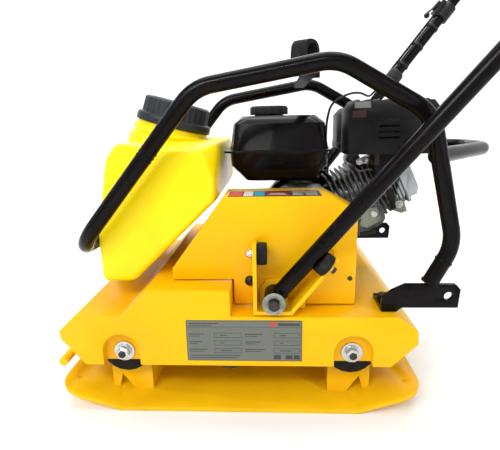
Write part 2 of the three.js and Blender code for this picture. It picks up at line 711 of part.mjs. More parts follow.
function fuelTank() {
  const lower = hull([slab(12, 152, -90, 92, 391, 26), slab(-12, 170, -108, 118, 420, 26), slab(-14, 172,
    -110, 120, 448, 26)]);
  const upper = hull([slab(-14, 172, -110, 120, 448, 26), slab(-6, 164, -102, 112, 498, 18), slab(10,
    148, -86, 96, 512, 18)]);
  const seam = alongZ(outline([[-25, -121], [181, -121], [181, 131], [-25, 131]], 24), 446, 450, 3);
  const neck = rod(at(60, 5, 505), Z, 30, 9.5, 24);
  return joined(lower, upper, seam, neck);
}

function fuelCap() {
  return turned([[0, 0], [38, 0], [38, 13], [35, 17], [0, 17]], at(60, 5, 515), Z, 20);
}

function mufflerShield() {
  const outer = hull([
    slab(199, 368, -122, -38, 440, 20),
    slab(199, 368, -122, -38, 518, 20),
    slab(209, 358, -112, -46, 534, 18),
  ]);
  const inner = hull([
    slab(202, 365, -119, -41, 430, 18),
    slab(202, 365, -119, -41, 516, 18),
    slab(211, 356, -109, -49, 531, 16),
  ]);
  const louvres = [0, 1, 2, 3].map((i) => box(256, 292, -126, -110, 468 + i * 10, 471 + i * 10));
  const vents = [0, 1, 2, 3, 4, 5].map((i) => box(226 + i * 18, 236 + i * 18, -100, -60, 520, 540));
  return cut(outer, inner, ...louvres, ...vents);
}

function muffler() {
  const can = rod(at(212, -80, 476), X, 33, 142, 18);
  const drop = rod(at(262, -80, 418), Z, 11, 40, 16);
  const port = rod(at(262, -86, 424), Y, 11, 24, 16);
  return joined(can, drop, port);
}

function airCleaner() {
  const cover = hull([
    slab(204, 306, 4, 112, 454, 20), slab(204, 306, 4, 112, 512, 20), slab(216, 294, 16, 100, 526, 18),
  ]);
  return joined(cover, alongZ(outline([[204, 0], [306, 0], [306, 116], [204, 116]], 16), 442, 455, 3));
}

function carburettor() {
  const body = rod(at(246, 62, 415), Y, 16, 40, 20);
  const bowl = rod(at(246, 84, 380), Z, 17, 28, 20);
  const intake = rod(at(246, 90, 410), Z, 12, 31.7, 14);
  return joined(body, bowl, intake);
}

// The blower housing on the flywheel side, with the arm that carries the speed lever.
function fanShroud() {
  const disc = new THREE.Shape().absarc(CRANK.x, CRANK.z, 84, 0, Math.PI * 2);
  const inside = new THREE.Shape().absarc(CRANK.x, CRANK.z, 81, 0, Math.PI * 2);
  const mouth = new THREE.Shape().absarc(CRANK.x, CRANK.z, 60, 0, Math.PI * 2);
  const wing = box(205, 240, 100, 140, 286, 352);
  const arm = alongY(outline([[168, 350], [196, 350], [194, 404], [176, 404]], 6), 73, 78);
  const housing = joined(alongY(disc, 73, 140, 12), wing, arm, rod(at(185, 64, 396), Y, 3.6, 10, 12));
  return cut(housing, alongY(inside, 70, 137, 12), alongY(mouth, 130, 141, 10), box(208, 237, 97, 137,
    289, 349));
}

function recoilCover() {
  const dish = turned([
    [74, 0], [74, 16], [66, 31], [0, 34], [0, 31], [64, 28], [71, 14], [71, 0], [74, 0],
  ], at(CRANK.x, 140 + GAP, CRANK.z), Y, 20);
  return cut(dish, box(72, 82, 150, 162, 330, 390));
}

function starterReel() {
  return turned([
    [0, 0], [52, 0], [52, 3], [42, 4], [42, 12], [52, 13], [52, 16], [0, 16], [0, 0],
  ], at(CRANK.x, 148, CRANK.z), Y, 18);
}

// The starter's T grip with the stretch of cord that runs into the housing.
function starterGrip() {
  const cord = rod(at(77, 156, 262), Z, 2.2, 112, 10);
  const grip = hull([slab(46, 108, 147, 165, 372, 8), slab(42, 112, 145, 167, 382, 9), slab(48, 106, 148,
    164, 392, 7)]);
  return joined(cord, grip);
}

function speedLever() {
  const plate = alongY(outline([[178, 388], [192, 388], [190, 436], [181, 436]], 4), 66, 69.5);
  return cut(plate, rod(at(185, 60, 396), Y, 3.9, 14, 12));
}

function engineSwitch() {
  const knob = rod(at(222, 140 + GAP, 322), Y, 11, 6, 20);
  return joined(knob, box(219, 225, 144, 154, 313, 331));
}

function dipstick() {
  return turned([[0, 0], [11, 0], [11, 4], [15, 5], [15, 13], [12, 15], [0, 15]], at(206 + GAP, 40, 220),
    X, 14);
}

add("crankcase", crankcase(), CAST);
add("crankshaft", crankshaft(), STEEL);
add("clutch_drum", clutchDrum(), STEEL);
add("flywheel", flywheel(), CAST);
add("cylinder", cylinder(), CAST_DARK);
add("cylinder_head", cylinderHead(), CAST_DARK);
add("valve_cover", valveCover(), CAST);
add("fuel_tank", fuelTank(), BLACK);
add("fuel_cap", fuelCap(), PLASTIC);
add("muffler_shield", mufflerShield(), BLACK);
add("muffler", muffler(), STEEL);
add("air_cleaner", airCleaner(), PLASTIC);
add("carburettor", carburettor(), CAST);
add("fan_shroud", fanShroud(), BLACK);
add("recoil_cover", recoilCover(), BLACK);
add("starter_reel", starterReel(), PLASTIC);
add("starter_grip", starterGrip(), PLASTIC);
add("speed_lever", speedLever(), ZINC);
add("engine_switch", engineSwitch(), PLASTIC);
add("dipstick", dipstick(), PLASTIC);

// ---------------------------------------------------------------- throttle on the right handle tube

const THROTTLE_AT = 715;
const CABLE = { radius: 3, lift: TUBE + 3.5, lowest: 470 };

// Local frame: X up the tube, Z away from the tube on its upper side.
function throttleGroup() {
  const up = alongHandle(1, 1).sub(alongHandle(0, 1)).normalize();
  const side = acrossHandle.clone().negate().cross(up).normalize();
  const group = new THREE.Group();
  group.position.copy(alongHandle(THROTTLE_AT, 1));
  group.quaternion.setFromRotationMatrix(new THREE.Matrix4().makeBasis(up, side, up.clone().cross(side)));
  model.add(group);
  return group;
}

function throttleClamp() {
  const collar = ring(at(-20, 0, 0), X, TUBE + GAP, 19, 40, 24);
  const seat = cut(box(-17, 17, -15, 15, 15, 25), rod(at(-30, 0, 0), X, TUBE + GAP, 60, 24));
  return joined(collar, seat);
}

function throttleLever() {
  const hub = rod(at(0, 0, 25 + GAP), Z, 13, 6, 20);
  const arm = alongZ(outline([[-6, 4], [6, 4], [4, 62], [-4, 62]]), 26, 30);
  const knob = new THREE.SphereGeometry(8, 10, 6).translate(0, 63, 23);
  return joined(hub, arm, knob);
}

const throttle = throttleGroup();
add("throttle_clamp", throttleClamp(), PLASTIC, throttle);
add("throttle_lever", throttleLever(), PLASTIC, throttle);
add("throttle_cable", rod(at(-20.3, 0, CABLE.lift), at(-1, 0, 0), CABLE.radius,
  THROTTLE_AT - 20.3 - CABLE.lowest, 10),
  RUBBER, throttle);

// The free stretch of the cable, from the handle over the right rail to the speed lever.
function cableArc() {
  const start = throttle.localToWorld(at(CABLE.lowest - THROTTLE_AT - GAP, 0, CABLE.lift));
  const down = throttle.localToWorld(at(CABLE.lowest - THROTTLE_AT - 24, 0, CABLE.lift));
  const route = new THREE.CatmullRomCurve3([
    start, down, at(317, 262, 560), at(288, 214, 565), at(256, 160, 562), at(222, 112, 550), at(198, 84,
      532),
    at(188, 72, 500), at(186, 68, 470), at(185.5, 67.7, 437),
  ]);
  const section = new THREE.Shape().absarc(0, 0, CABLE.radius - 0.3, 0, Math.PI * 2);
  return new THREE.ExtrudeGeometry(section, { extrudePath: route, steps: 26, curveSegments: 4,
    bevelEnabled: false });
}

model.updateMatrixWorld(true);
add("throttle_cable_arc", cableArc(), RUBBER);

export default model;
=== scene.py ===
"""A plate compactor's looks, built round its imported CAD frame. Metres, +Z up."""

import math

import bmesh
import bpy
from mathutils import Matrix, Quaternion, Vector


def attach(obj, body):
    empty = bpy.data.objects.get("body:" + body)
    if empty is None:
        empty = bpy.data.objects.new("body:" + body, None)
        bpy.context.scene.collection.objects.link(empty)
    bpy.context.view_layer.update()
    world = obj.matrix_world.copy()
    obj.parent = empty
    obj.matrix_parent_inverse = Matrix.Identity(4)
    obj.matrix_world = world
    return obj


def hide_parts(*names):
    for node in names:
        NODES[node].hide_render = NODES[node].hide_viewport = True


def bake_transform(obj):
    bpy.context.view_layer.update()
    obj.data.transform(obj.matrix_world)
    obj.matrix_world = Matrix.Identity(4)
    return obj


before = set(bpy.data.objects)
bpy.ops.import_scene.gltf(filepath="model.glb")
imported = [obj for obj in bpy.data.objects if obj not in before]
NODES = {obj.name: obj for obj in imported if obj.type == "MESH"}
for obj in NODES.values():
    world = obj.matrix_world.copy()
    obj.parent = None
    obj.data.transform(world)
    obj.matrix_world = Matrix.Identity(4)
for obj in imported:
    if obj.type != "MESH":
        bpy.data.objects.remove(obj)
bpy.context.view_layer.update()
MM = 0.001
X, Y, Z = Vector((1, 0, 0)), Vector((0, 1, 0)), Vector((0, 0, 1))
SIDES = (("left", -1), ("right", 1))

# -------------------------------------------------- dimensions shared with the CAD, in mm
TUBE = 13.5
CAGE_Y = 218.4
CAGE = ((330.5, 238), (361.5, 299), (311.2, 508.5), (166.2, 591.4), (-54.7, 554.3), (-278, 283))
HUB = Vector((67, 227.6, 208.5))
RISE = math.radians(51.2)
SPLAY = 0.13
BEND_AT, GRIP_AT, GRIP_HALF = 820, 1000, 225
CABLE_LIFT = TUBE + 3.5
CABLE_LOWEST = 470
CAP = Vector((-137, 0, 506))
CAP_TILT = math.radians(16)
CAP_AXIS = Vector((math.sin(CAP_TILT), 0, math.cos(CAP_TILT)))
CRANK = Vector((130, 0, 300))
EXCITER = Vector((-20, 0, 72))
DRUM_RADIUS, PULLEY_RADIUS = 55, 35
BELT_Y = -155
GRIP_START, GRIP_LENGTH, GRIP_RIBS, GRIP_PITCH = -110, 220, 20, 10.8
BOSS_FACE = 249
MOUNT_X, MOUNT_FACE, MOUNT_Z = 202, 226.2, 107
GUARD_SIDE, GUARD_TOP = -195.7, 377.1
DECK_SIDE = -244.6
RECOIL_FACE = 156.6
STOP_AT, STOP_OUTSIDE = 103, 37.55


def v(x, y, z):
    """A short name for a vector."""
    return Vector((x, y, z))


def along_handle(distance, side=-1):
    """The point on a handle tube's centre line at that distance from its pivot."""
    return v(HUB.x + distance * math.cos(RISE), side * (HUB.y + distance * SPLAY),
             HUB.z + distance * math.sin(RISE))


# ------------------------------------------------------------------ materials
class Nodes:
    """A small helper that adds nodes and links to one material."""

    def __init__(self, name):
        self.material = bpy.data.materials.new(name)
        self.material.use_nodes = True
        self.tree = self.material.node_tree
        self.shader = self.tree.nodes["Principled BSDF"]
        self.place = self.add("ShaderNodeTexCoord").outputs["Object"]

    def add(self, kind, **settings):
        node = self.tree.nodes.new(kind)
        for key, value in settings.items():
            setattr(node, key, value)
        return node

    def link(self, source, target):
        self.tree.links.new(source, target)

    def stretched(self, scale):
        mapping = self.add("ShaderNodeMapping")
        mapping.inputs["Scale"].default_value = scale
        self.link(self.place, mapping.inputs["Vector"])
        return mapping.outputs["Vector"]

    def noise(self, scale, detail=4.0, roughness=0.55, place=None):
        node = self.add("ShaderNodeTexNoise")
        node.inputs["Scale"].default_value = scale
        node.inputs["Detail"].default_value = detail
        node.inputs["Roughness"].default_value = roughness
        self.link(place or self.place, node.inputs["Vector"])
        return node.outputs["Fac"]

    def cells(self, scale, output="Color"):
        node = self.add("ShaderNodeTexVoronoi")
        node.inputs["Scale"].default_value = scale
        self.link(self.place, node.inputs["Vector"])
        return node.outputs[output]

    def ramp(self, value, *stops):
        node = self.add("ShaderNodeValToRGB")
        elements = node.color_ramp.elements
        while len(elements) < len(stops):
            elements.new(0.5)
        for element, (position, colour) in zip(elements, stops):
            element.position = position
            element.color = colour if len(colour) == 4 else (*colour, 1)
        self.link(value, node.inputs["Fac"])
        return node.outputs["Color"]

    def level(self, value, low, high, start=0.0, end=1.0):
        node = self.add("ShaderNodeMapRange")
        for key, number in (("From Min", start), ("From Max", end), ("To Min", low),
                            ("To Max", high)):
            node.inputs[key].default_value = number
        self.link(value, node.inputs["Value"])
        return node.outputs["Result"]

    def mix(self, factor, first, second):
        node = self.add("ShaderNodeMix", data_type="RGBA")
        self.link(factor, node.inputs["Factor"])
        for socket, colour in ((node.inputs[6], first), (node.inputs[7], second)):
            if isinstance(colour, tuple):
                socket.default_value = (*colour, 1)
            else:
                self.link(colour, socket)
        return node.outputs[2]

    def maths(self, operation, first, second):
        node = self.add("ShaderNodeMath", operation=operation)
        self.link(first, node.inputs[0])
        if isinstance(second, (int, float)):
            node.inputs[1].default_value = second
        else:
            self.link(second, node.inputs[1])
        return node.outputs[0]

    def bump(self, height, strength, distance):
        node = self.add("ShaderNodeBump")
        node.inputs["Strength"].default_value = strength
        node.inputs["Distance"].default_value = distance
        self.link(height, node.inputs["Height"])
        previous = self.shader.inputs["Normal"]
        if previous.is_linked:
            self.link(previous.links[0].from_socket, node.inputs["Normal"])
        self.link(node.outputs["Normal"], previous)

    def set(self, **values):
        for key, value in values.items():
            self.shader.inputs[key.replace("_", " ")].default_value = value

    def colour(self, output):
        self.link(output, self.shader.inputs["Base Color"])

    def rough(self, output):
        self.link(output, self.shader.inputs["Roughness"])


def paint(name, colour, shade, roughness, coat, chip=None, chip_at=0.74, orange_peel=0.12,
          gloss=0.16):
    """Sprayed enamel: slow colour drift, orange peel, faint smears and a few chips."""
    n = Nodes(name)
    drift = n.mix(n.level(n.noise(7, 3), 0, 1, 0.35, 0.7), colour, shade)
    if chip:
        coarse = n.noise(46, 6, 0.7)
        fine = n.noise(420, 3, 0.6)
        mask = n.ramp(n.maths("ADD", n.maths("MULTIPLY", coarse, 0.8),
                              n.maths("MULTIPLY", fine, 0.25)),
                      (chip_at, (0, 0, 0)), (chip_at + 0.02, (1, 1, 1)))
        drift = n.mix(mask, drift, chip)
        n.bump(mask, 0.25, -0.0003)
    n.colour(drift)
    n.rough(n.level(n.noise(24, 5, 0.65), roughness - 0.08, roughness + 0.14, 0.3, 0.72))
    n.bump(n.noise(520, 2), orange_peel, 0.0002)
    n.set(Coat_Weight=coat, Coat_Roughness=0.08, Specular_IOR_Level=gloss)
    return n.material


def plastic(name, colour, shade, roughness, grain=900, strength=0.25):
    """Moulded plastic with a fine spark-eroded grain."""
    n = Nodes(name)
    n.colour(n.mix(n.level(n.noise(12, 3), 0, 1, 0.35, 0.7), colour, shade))
    n.rough(n.level(n.noise(60, 4), roughness - 0.06, roughness + 0.1, 0.3, 0.7))
    n.bump(n.noise(grain, 2), strength, 0.00015)
    n.set(Specular_IOR_Level=0.25)
    return n.material


def rubber(name, colour):
    """Vulcanised rubber, matt, with dust in its texture."""
    n = Nodes(name)
    dust = n.ramp(n.noise(34, 6, 0.7), (0.52, (0, 0, 0)), (0.8, (0.3, 0.3, 0.3)))
    n.set(Specular_IOR_Level=0.2)
    n.colour(n.mix(dust, colour, (0.11, 0.1, 0.085)))
    n.rough(n.level(n.noise(90, 4), 0.62, 0.9, 0.3, 0.7))
    n.bump(n.noise(650, 3), 0.3, 0.0003)
    return n.material


def metal(name, colour, shade, roughness, grain=(300, 300, 300), strength=0.15, depth=0.0002,
          cells=0):
    """Bare or plated metal; the grain's three scales set how it is brushed."""
    n = Nodes(name)
    base = n.noise(1, 4, 0.6, n.stretched(grain))
    tone = n.mix(n.level(n.noise(18, 4), 0, 1, 0.35, 0.7), colour, shade)
    if cells:
        spangle = n.level(n.cells(cells, "Distance"), 0, 1, 0, 0.02)
        tone = n.mix(spangle, tone, colour)
    n.colour(tone)
    n.rough(n.level(base, roughness - 0.1, roughness + 0.14, 0.3, 0.7))
    n.bump(base, strength, depth)
    n.set(Metallic=1.0)
    return n.material


def tank_plastic():
    """Rotationally moulded polyethylene: the light goes in and comes back warmer in thick parts."""
    n = Nodes("tank_polyethylene")
    n.colour(n.mix(n.level(n.noise(9, 3), 0, 1, 0.3, 0.72), (1.0, 0.80, 0.0), (1.0, 0.68, 0.0)))
    n.rough(n.level(n.noise(45, 4), 0.26, 0.42, 0.3, 0.7))
    n.bump(n.noise(240, 3), 0.1, 0.0003)
    n.set(Subsurface_Weight=0.25, Subsurface_Radius=(0.03, 0.012, 0.002), Subsurface_Scale=0.6,
          Coat_Weight=0.06,
          Specular_IOR_Level=0.25)
    return n.material


def cast(name, colour, shade, roughness=0.5, metallic=0.85):
    """Sand-cast alloy: grainy skin, dull oxide in patches."""
    n = Nodes(name)
    n.colour(n.mix(n.ramp(n.noise(55, 6, 0.7), (0.42, (0, 0, 0)), (0.66, (1, 1, 1))), colour,
                   shade))
    n.rough(n.level(n.noise(130, 5), roughness - 0.12, roughness + 0.16, 0.3, 0.7))
    n.bump(n.noise(380, 4, 0.65), 0.4, 0.0005)
    n.set(Metallic=metallic)
    return n.material


def printed(name, colour, shade, roughness=0.35, metallic=0.0):
    """A printed label: even ink with faint scuffs."""
    n = Nodes(name)
    scuff = n.ramp(n.noise(70, 6, 0.75), (0.6, (0, 0, 0)), (0.85, (1, 1, 1)))
    n.colour(n.mix(scuff, colour, shade))
    n.rough(n.level(n.noise(140, 3), roughness - 0.05, roughness + 0.15, 0.3, 0.7))
    n.bump(n.noise(900, 2), 0.05, 0.0001)
    n.set(Metallic=metallic)
    return n.material


YELLOW = paint("yellow_enamel", (0.90, 0.495, 0.0005), (0.86, 0.44, 0.0005), 0.36, 0.04,
               (0.30, 0.17, 0.03), 0.80)
YELLOW_WORN = paint("yellow_plate_enamel", (0.93, 0.52, 0.003), (0.80, 0.43, 0.003), 0.34, 0.1,
                    (0.22, 0.14, 0.04), 0.77)
BLACK = paint("black_powder_coat", (0.0026, 0.0019, 0.0017), (0.005, 0.004, 0.004), 0.17, 0.08,
              (0.04, 0.037, 0.035), 0.83, 0.12, 0.07)
ENGINE_BLACK = paint("black_engine_enamel", (0.0025, 0.0018, 0.0026), (0.005, 0.004, 0.005), 0.14,
                     0.10,
                     orange_peel=0.08, gloss=0.07)
HEAT_BLACK = paint("black_heat_enamel", (0.006, 0.006, 0.007), (0.013, 0.0125, 0.013), 0.42, 0.02,
                   gloss=0.12)
TANK = tank_plastic()
CAP_PLASTIC = plastic("cap_plastic", (0.011, 0.015, 0.019), (0.020, 0.025, 0.03), 0.42)
PLASTIC = plastic("black_plastic", (0.009, 0.009, 0.010), (0.016, 0.016, 0.017), 0.45)
RED = plastic("red_plastic", (0.5, 0.02, 0.015), (0.4, 0.015, 0.012), 0.35)
RUBBER = rubber("rubber", (0.008, 0.0075, 0.007))
ZINC = metal("zinc_plate", (0.56, 0.58, 0.59), (0.40, 0.42, 0.42), 0.28, (700, 700, 700), 0.12,
             0.0002, 160)
STEEL = metal("turned_steel", (0.50, 0.51, 0.52), (0.34, 0.34, 0.34), 0.3, (60, 2400, 60))
DARK_STEEL = metal("blackened_steel", (0.04, 0.036, 0.035), (0.07, 0.06, 0.055), 0.38,
                   (500, 500, 500), 0.2)
ALLOY = cast("cast_alloy", (0.34, 0.36, 0.31), (0.18, 0.20, 0.165))
FIN_ALLOY = cast("fin_alloy", (0.13, 0.13, 0.13), (0.035, 0.035, 0.035), 0.36)
IRON = cast("machined_iron", (0.16, 0.16, 0.16), (0.07, 0.065, 0.06), 0.55)
COVER_GREY = paint("grey_enamel", (0.50, 0.55, 0.56), (0.42, 0.47, 0.48), 0.32, 0.1)
SEARED = metal("seared_steel", (0.05, 0.038, 0.03), (0.025, 0.02, 0.018), 0.45, (200, 200, 200),
               0.25)

CAD_MATERIALS = {
    "base_plate": YELLOW_WORN, "exciter_housing": YELLOW, "exciter_cover": YELLOW,
    "deck_frame": YELLOW,
    "belt_guard": YELLOW, "eccentric_shaft": STEEL, "exciter_pulley": IRON, "drive_belt": RUBBER,
    "handle_pivot_bolt_left": DARK_STEEL, "handle_pivot_bolt_right": DARK_STEEL, "handle": BLACK,
    "grip_sleeve": RUBBER, "roll_cage": BLACK, "lifting_bar": RUBBER, "rear_guard": BLACK,
    "front_stay": BLACK,
    "foot_plate_left": BLACK, "foot_plate_right": BLACK, "water_tank": TANK,
    "water_cap": CAP_PLASTIC,
    "water_tap": ALLOY, "tap_lever": RED, "sprinkler_bar": YELLOW_WORN, "sprinkler_hose": RUBBER,
    "crankcase": ALLOY, "crankshaft": STEEL, "clutch_drum": IRON, "flywheel": ALLOY,
    "cylinder": FIN_ALLOY,
    "cylinder_head": FIN_ALLOY, "valve_cover": COVER_GREY, "fuel_tank": ENGINE_BLACK,
    "fuel_cap": PLASTIC,
    "muffler_shield": HEAT_BLACK, "muffler": SEARED, "air_cleaner": PLASTIC, "carburettor": ALLOY,
    "fan_shroud": ENGINE_BLACK, "recoil_cover": ENGINE_BLACK, "starter_reel": PLASTIC,
    "starter_grip": PLASTIC,
    "speed_lever": ZINC, "engine_switch": RED, "dipstick": PLASTIC, "throttle_clamp": PLASTIC,
    "throttle_lever": PLASTIC, "throttle_cable": RUBBER, "throttle_cable_arc": RUBBER,
}
for side, _ in SIDES:
    CAD_MATERIALS[f"exciter_bearing_{side}"] = STEEL
    CAD_MATERIALS[f"handle_bracket_{side}"] = YELLOW
    CAD_MATERIALS[f"front_buffer_{side}"] = RUBBER
    CAD_MATERIALS[f"rear_buffer_{side}"] = RUBBER
    for end in ("front", "rear"):
        CAD_MATERIALS[f"shock_mount_{end}_{side}"] = RUBBER


def soften(obj, width, angle=38, segments=2):
    """Welds a solid's corners, smooths its curves and rounds its edges."""
    obj.data.polygons.foreach_set("use_smooth", [True] * len(obj.data.polygons))
    weld = obj.modifiers.new("weld", "WELD")
    weld.merge_threshold = 2e-5
    flat = obj.modifiers.new("flat", "DECIMATE")
    flat.decimate_type = "DISSOLVE"
    flat.angle_limit = math.radians(0.6)
    bevel = obj.modifiers.new("bevel", "BEVEL")
    bevel.width = width * MM
    bevel.segments = segments
    bevel.limit_method = "ANGLE"
    bevel.angle_limit = math.radians(angle)
    bevel.harden_normals = True
    bevel.use_clamp_overlap = True


CAD_ROUNDING = {"deck_frame": 1.4, "base_plate": 1.2, "belt_guard": 0.9, "fuel_tank": 4.0,
                "muffler_shield": 1.2,
                "air_cleaner": 4.0, "valve_cover": 5.0, "crankcase": 2.0, "cylinder": 0.5,
                "foot_plate_left": 1.2,
                "foot_plate_right": 1.2, "lifting_bar": 2.0, "handle_bracket_left": 1.0,
                "handle_bracket_right": 1.0}
for node_name, node in NODES.items():
    node.data.materials.clear()
    node.data.materials.append(CAD_MATERIALS[node_name])
    soften(node, CAD_ROUNDING.get(node_name, 0.7))


# ------------------------------------------------------------------ mesh helpers, in mm
def mesh(name, verts, faces, material, body, smooth=True, slot=None, replaced=()):
    """A visible piece made from mm coordinates, riding on its body."""
    data = bpy.data.meshes.new(name)
    data.from_pydata([tuple(Vector(p) * MM) for p in verts], [], faces)
    shape = bmesh.new()
    shape.from_mesh(data)
    bmesh.ops.remove_doubles(shape, verts=shape.verts, dist=1e-6)
    bmesh.ops.recalc_face_normals(shape, faces=shape.faces)
    shape.to_mesh(data)
    shape.free()
    data.polygons.foreach_set("use_smooth", [smooth] * len(data.polygons))
    data.set_sharp_from_angle(angle=math.radians(36))
    data.materials.append(material)
    obj = bpy.data.objects.new(name, data)
    bpy.context.scene.collection.objects.link(obj)
    if body:
        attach(obj, body)
    if replaced:
        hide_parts(*replaced)
    return obj


def fillet(points, bend, steps=8):
    """The route with each inner corner turned into an arc."""
    points = [Vector(p) for p in points]
    route = [points[0]]
    for before, corner, after in zip(points, points[1:], points[2:]):
        a, b = (before - corner).normalized(), (after - corner).normalized()
        half = a.angle(b) / 2
        reach = min(bend / math.tan(half), (before - corner).length * 0.48,
                    (after - corner).length * 0.48)
        radius = reach * math.tan(half)
        centre = corner + (a + b).normalized() * (radius / math.sin(half))
        start, end = corner + a * reach - centre, corner + b * reach - centre
        turn = start.angle(end)
        normal = start.cross(end).normalized()
        route += [centre + Quaternion(normal, turn * i / steps) @ start for i in range(steps + 1)]
    return route + [points[-1]]


def tangents(route):
    """The direction of the route at each of its points."""
    ends = [route[0]] + route[:-1], route[1:] + [route[-1]]
    return [(b - a).normalized() for a, b in zip(*ends)]


def ring_faces(rings, sides):
    """The faces between neighbouring rings of a tube, and its two end caps."""
    faces = [[i * sides + k, i * sides + (k + 1) % sides,
              (i + 1) * sides + (k + 1) % sides, (i + 1) * sides + k]
             for i in range(rings - 1) for k in range(sides)]
    faces.append(list(reversed(range(sides))))
    faces.append([(rings - 1) * sides + k for k in range(sides)])
    return faces


def sweep_data(route, radius, sides=24):
    """Rings of a tube along a route, with closed ends."""
    verts = []
    direction = tangents(route)
    normal = direction[0].orthogonal().normalized()
    for i, (point, forward) in enumerate(zip(route, direction)):
        normal = (normal - forward * normal.dot(forward)).normalized()
        binormal = forward.cross(normal)
        size = radius(i) if callable(radius) else radius
        for k in range(sides):
            a = 2 * math.pi * k / sides
            verts.append(point + (normal * math.cos(a) + binormal * math.sin(a)) * size)
    return verts, ring_faces(len(route), sides)


def lathe_data(profile, base, axis, sides=48, ripple=None):
    """A turned solid: (radius, height) pairs round an axis; ripple(angle, i) scales a ring."""
    axis = Vector(axis).normalized()
    across = axis.orthogonal().normalized()
    other = axis.cross(across)
    verts = []
    for i, (r, h) in enumerate(profile):
        for k in range(sides):
            a = 2 * math.pi * k / sides
            size = max(r, 0.001) * (ripple(a, i) if ripple else 1)
            spoke = across * math.cos(a) + other * math.sin(a)
            verts.append(Vector(base) + axis * h + spoke * size)
    return verts, ring_faces(len(profile), sides)


def compound(*parts):
    """Joins (verts, faces) pairs into one."""
    verts, faces = [], []
    for part_verts, part_faces in parts:
        start = len(verts)
        verts += part_verts
        faces += [[start + i for i in face] for face in part_faces]
    return verts, faces


def rounded(profile, r=1.0, steps=3):
    """A profile whose corners are rounded by r."""
    out = [profile[0]]
    for before, corner, after in zip(profile, profile[1:], profile[2:]):
        b, c, a = Vector(before), Vector(corner), Vector(after)
        reach = min(r, (b - c).length * 0.45, (a - c).length * 0.45)
        start, end = c + (b - c).normalized() * reach, c + (a - c).normalized() * reach
        for i in range(steps + 1):
            t = i / steps
            out.append(tuple(start * (1 - t) ** 2 + c * 2 * t * (1 - t) + end * t ** 2))
    return out + [profile[-1]]


def slab_data(outline, normal, across, origin, thickness, rim=0.6):
    """A plate with chamfered rims: a closed outline thickened along its plane's normal."""
    normal, across = Vector(normal).normalized(), Vector(across).normalized()
    up = normal.cross(across)
    centre = sum((Vector(p) for p in outline), Vector((0, 0))) / len(outline)
    rings = ((0, 0), (thickness - rim, 0), (thickness, rim))
    verts = []
    for height, inset in rings:
        for p in outline:
            d = Vector(p) - centre
            q = centre + d * (1 - inset / max(d.length, inset * 2))
            verts.append(Vector(origin) + across * q.x + up * q.y + normal * height)
    n = len(outline)
    faces = [[i * n + k, i * n + (k + 1) % n, (i + 1) * n + (k + 1) % n, (i + 1) * n + k]
             for i in range(len(rings) - 1) for k in range(n)]
    faces += [list(reversed(range(n))), [(len(rings) - 1) * n + k for k in range(n)]]
    return verts, faces


def round_rect(width, height, corner, cx=0.0, cy=0.0, steps=4):
    """A rectangle's outline with rounded corners."""
    out = []
    for sx, sy, start in ((1, 1, 0), (-1, 1, 90), (-1, -1, 180), (1, -1, 270)):
        for i in range(steps + 1):
            a = math.radians(start + 90 * i / steps)
            out.append((cx + sx * (width / 2 - corner) + corner * math.cos(a),
                        cy + sy * (height / 2 - corner) + corner * math.sin(a)))
    return out


def washer_data(base, axis, radius, hole, thickness):
    """A flat ring with eased edges."""
    return lathe_data(rounded([(hole, 0), (radius, 0), (radius, thickness), (hole, thickness),
                               (hole, 0)], 0.4),
                      base, axis, 40)


# ------------------------------------------------------------------ tubes
def weld_bead(name, centre, axis, radius, thick, body, material, waves=26):
    """A rippled weld seam round a tube."""
    axis = Vector(axis).normalized()
    a0 = axis.orthogonal().normalized()
    a1 = axis.cross(a0)
    steps, sides = waves * 4, 8
    verts, faces = [], []
    for i in range(steps):
        a = 2 * math.pi * i / steps
        out = a0 * math.cos(a) + a1 * math.sin(a)
        size = thick * (1 + 0.18 * math.sin(a * waves))
        for k in range(sides):
            b = 2 * math.pi * k / sides
            verts.append(Vector(centre) + out * (radius + math.cos(b) * size)
                         + axis * math.sin(b) * size * 1.5)
    for i in range(steps):
        j = (i + 1) % steps
        for k in range(sides):
            l = (k + 1) % sides
            faces.append([i * sides + k, i * sides + l, j * sides + l, j * sides + k])
    return mesh(name, verts, faces, material, body)


left_rail = [v(x, -CAGE_Y, z) for x, z in CAGE]
right_rail = [v(x, CAGE_Y, z) for x, z in reversed(CAGE)]
foot_run = (left_rail[0] - left_rail[1]).normalized() * 7
left_rail[0] = left_rail[0] + foot_run
right_rail[-1] = right_rail[-1] + foot_run
cage_route = fillet(left_rail + right_rail, 75, 10)
mesh("cage_tube", *sweep_data(cage_route, TUBE, 28), BLACK, "deck", slot="frame_paint",
     replaced=["roll_cage"])

grip_end = along_handle(GRIP_AT)
handle_route = fillet([along_handle(4), along_handle(BEND_AT),
                       v(grip_end.x, -GRIP_HALF, grip_end.z),
                       v(grip_end.x, GRIP_HALF, grip_end.z), along_handle(BEND_AT, 1),
                       along_handle(4, 1)], 120, 12)
boss = rounded([(0, 0), (17, 0), (17, 45), (0, 45)], 2)
handle_parts = [sweep_data(handle_route, TUBE, 28)]
for _, side in SIDES:
    handle_parts.append(lathe_data(boss, v(HUB.x, side * BOSS_FACE, HUB.z), -side * Y, 40))
mesh("handle_tube", *compound(*handle_parts), BLACK, "handle", slot="frame_paint",
     replaced=["handle"])

guard_route = fillet([v(324, -CAGE_Y + 8, 443), v(478, -45, 443), v(478, 45, 443),
                      v(324, CAGE_Y - 8, 443)], 70, 10)
mesh("guard_tube", *sweep_data(guard_route, TUBE - 0.5, 26), BLACK, "deck", slot="frame_paint",
     replaced=["rear_guard"])

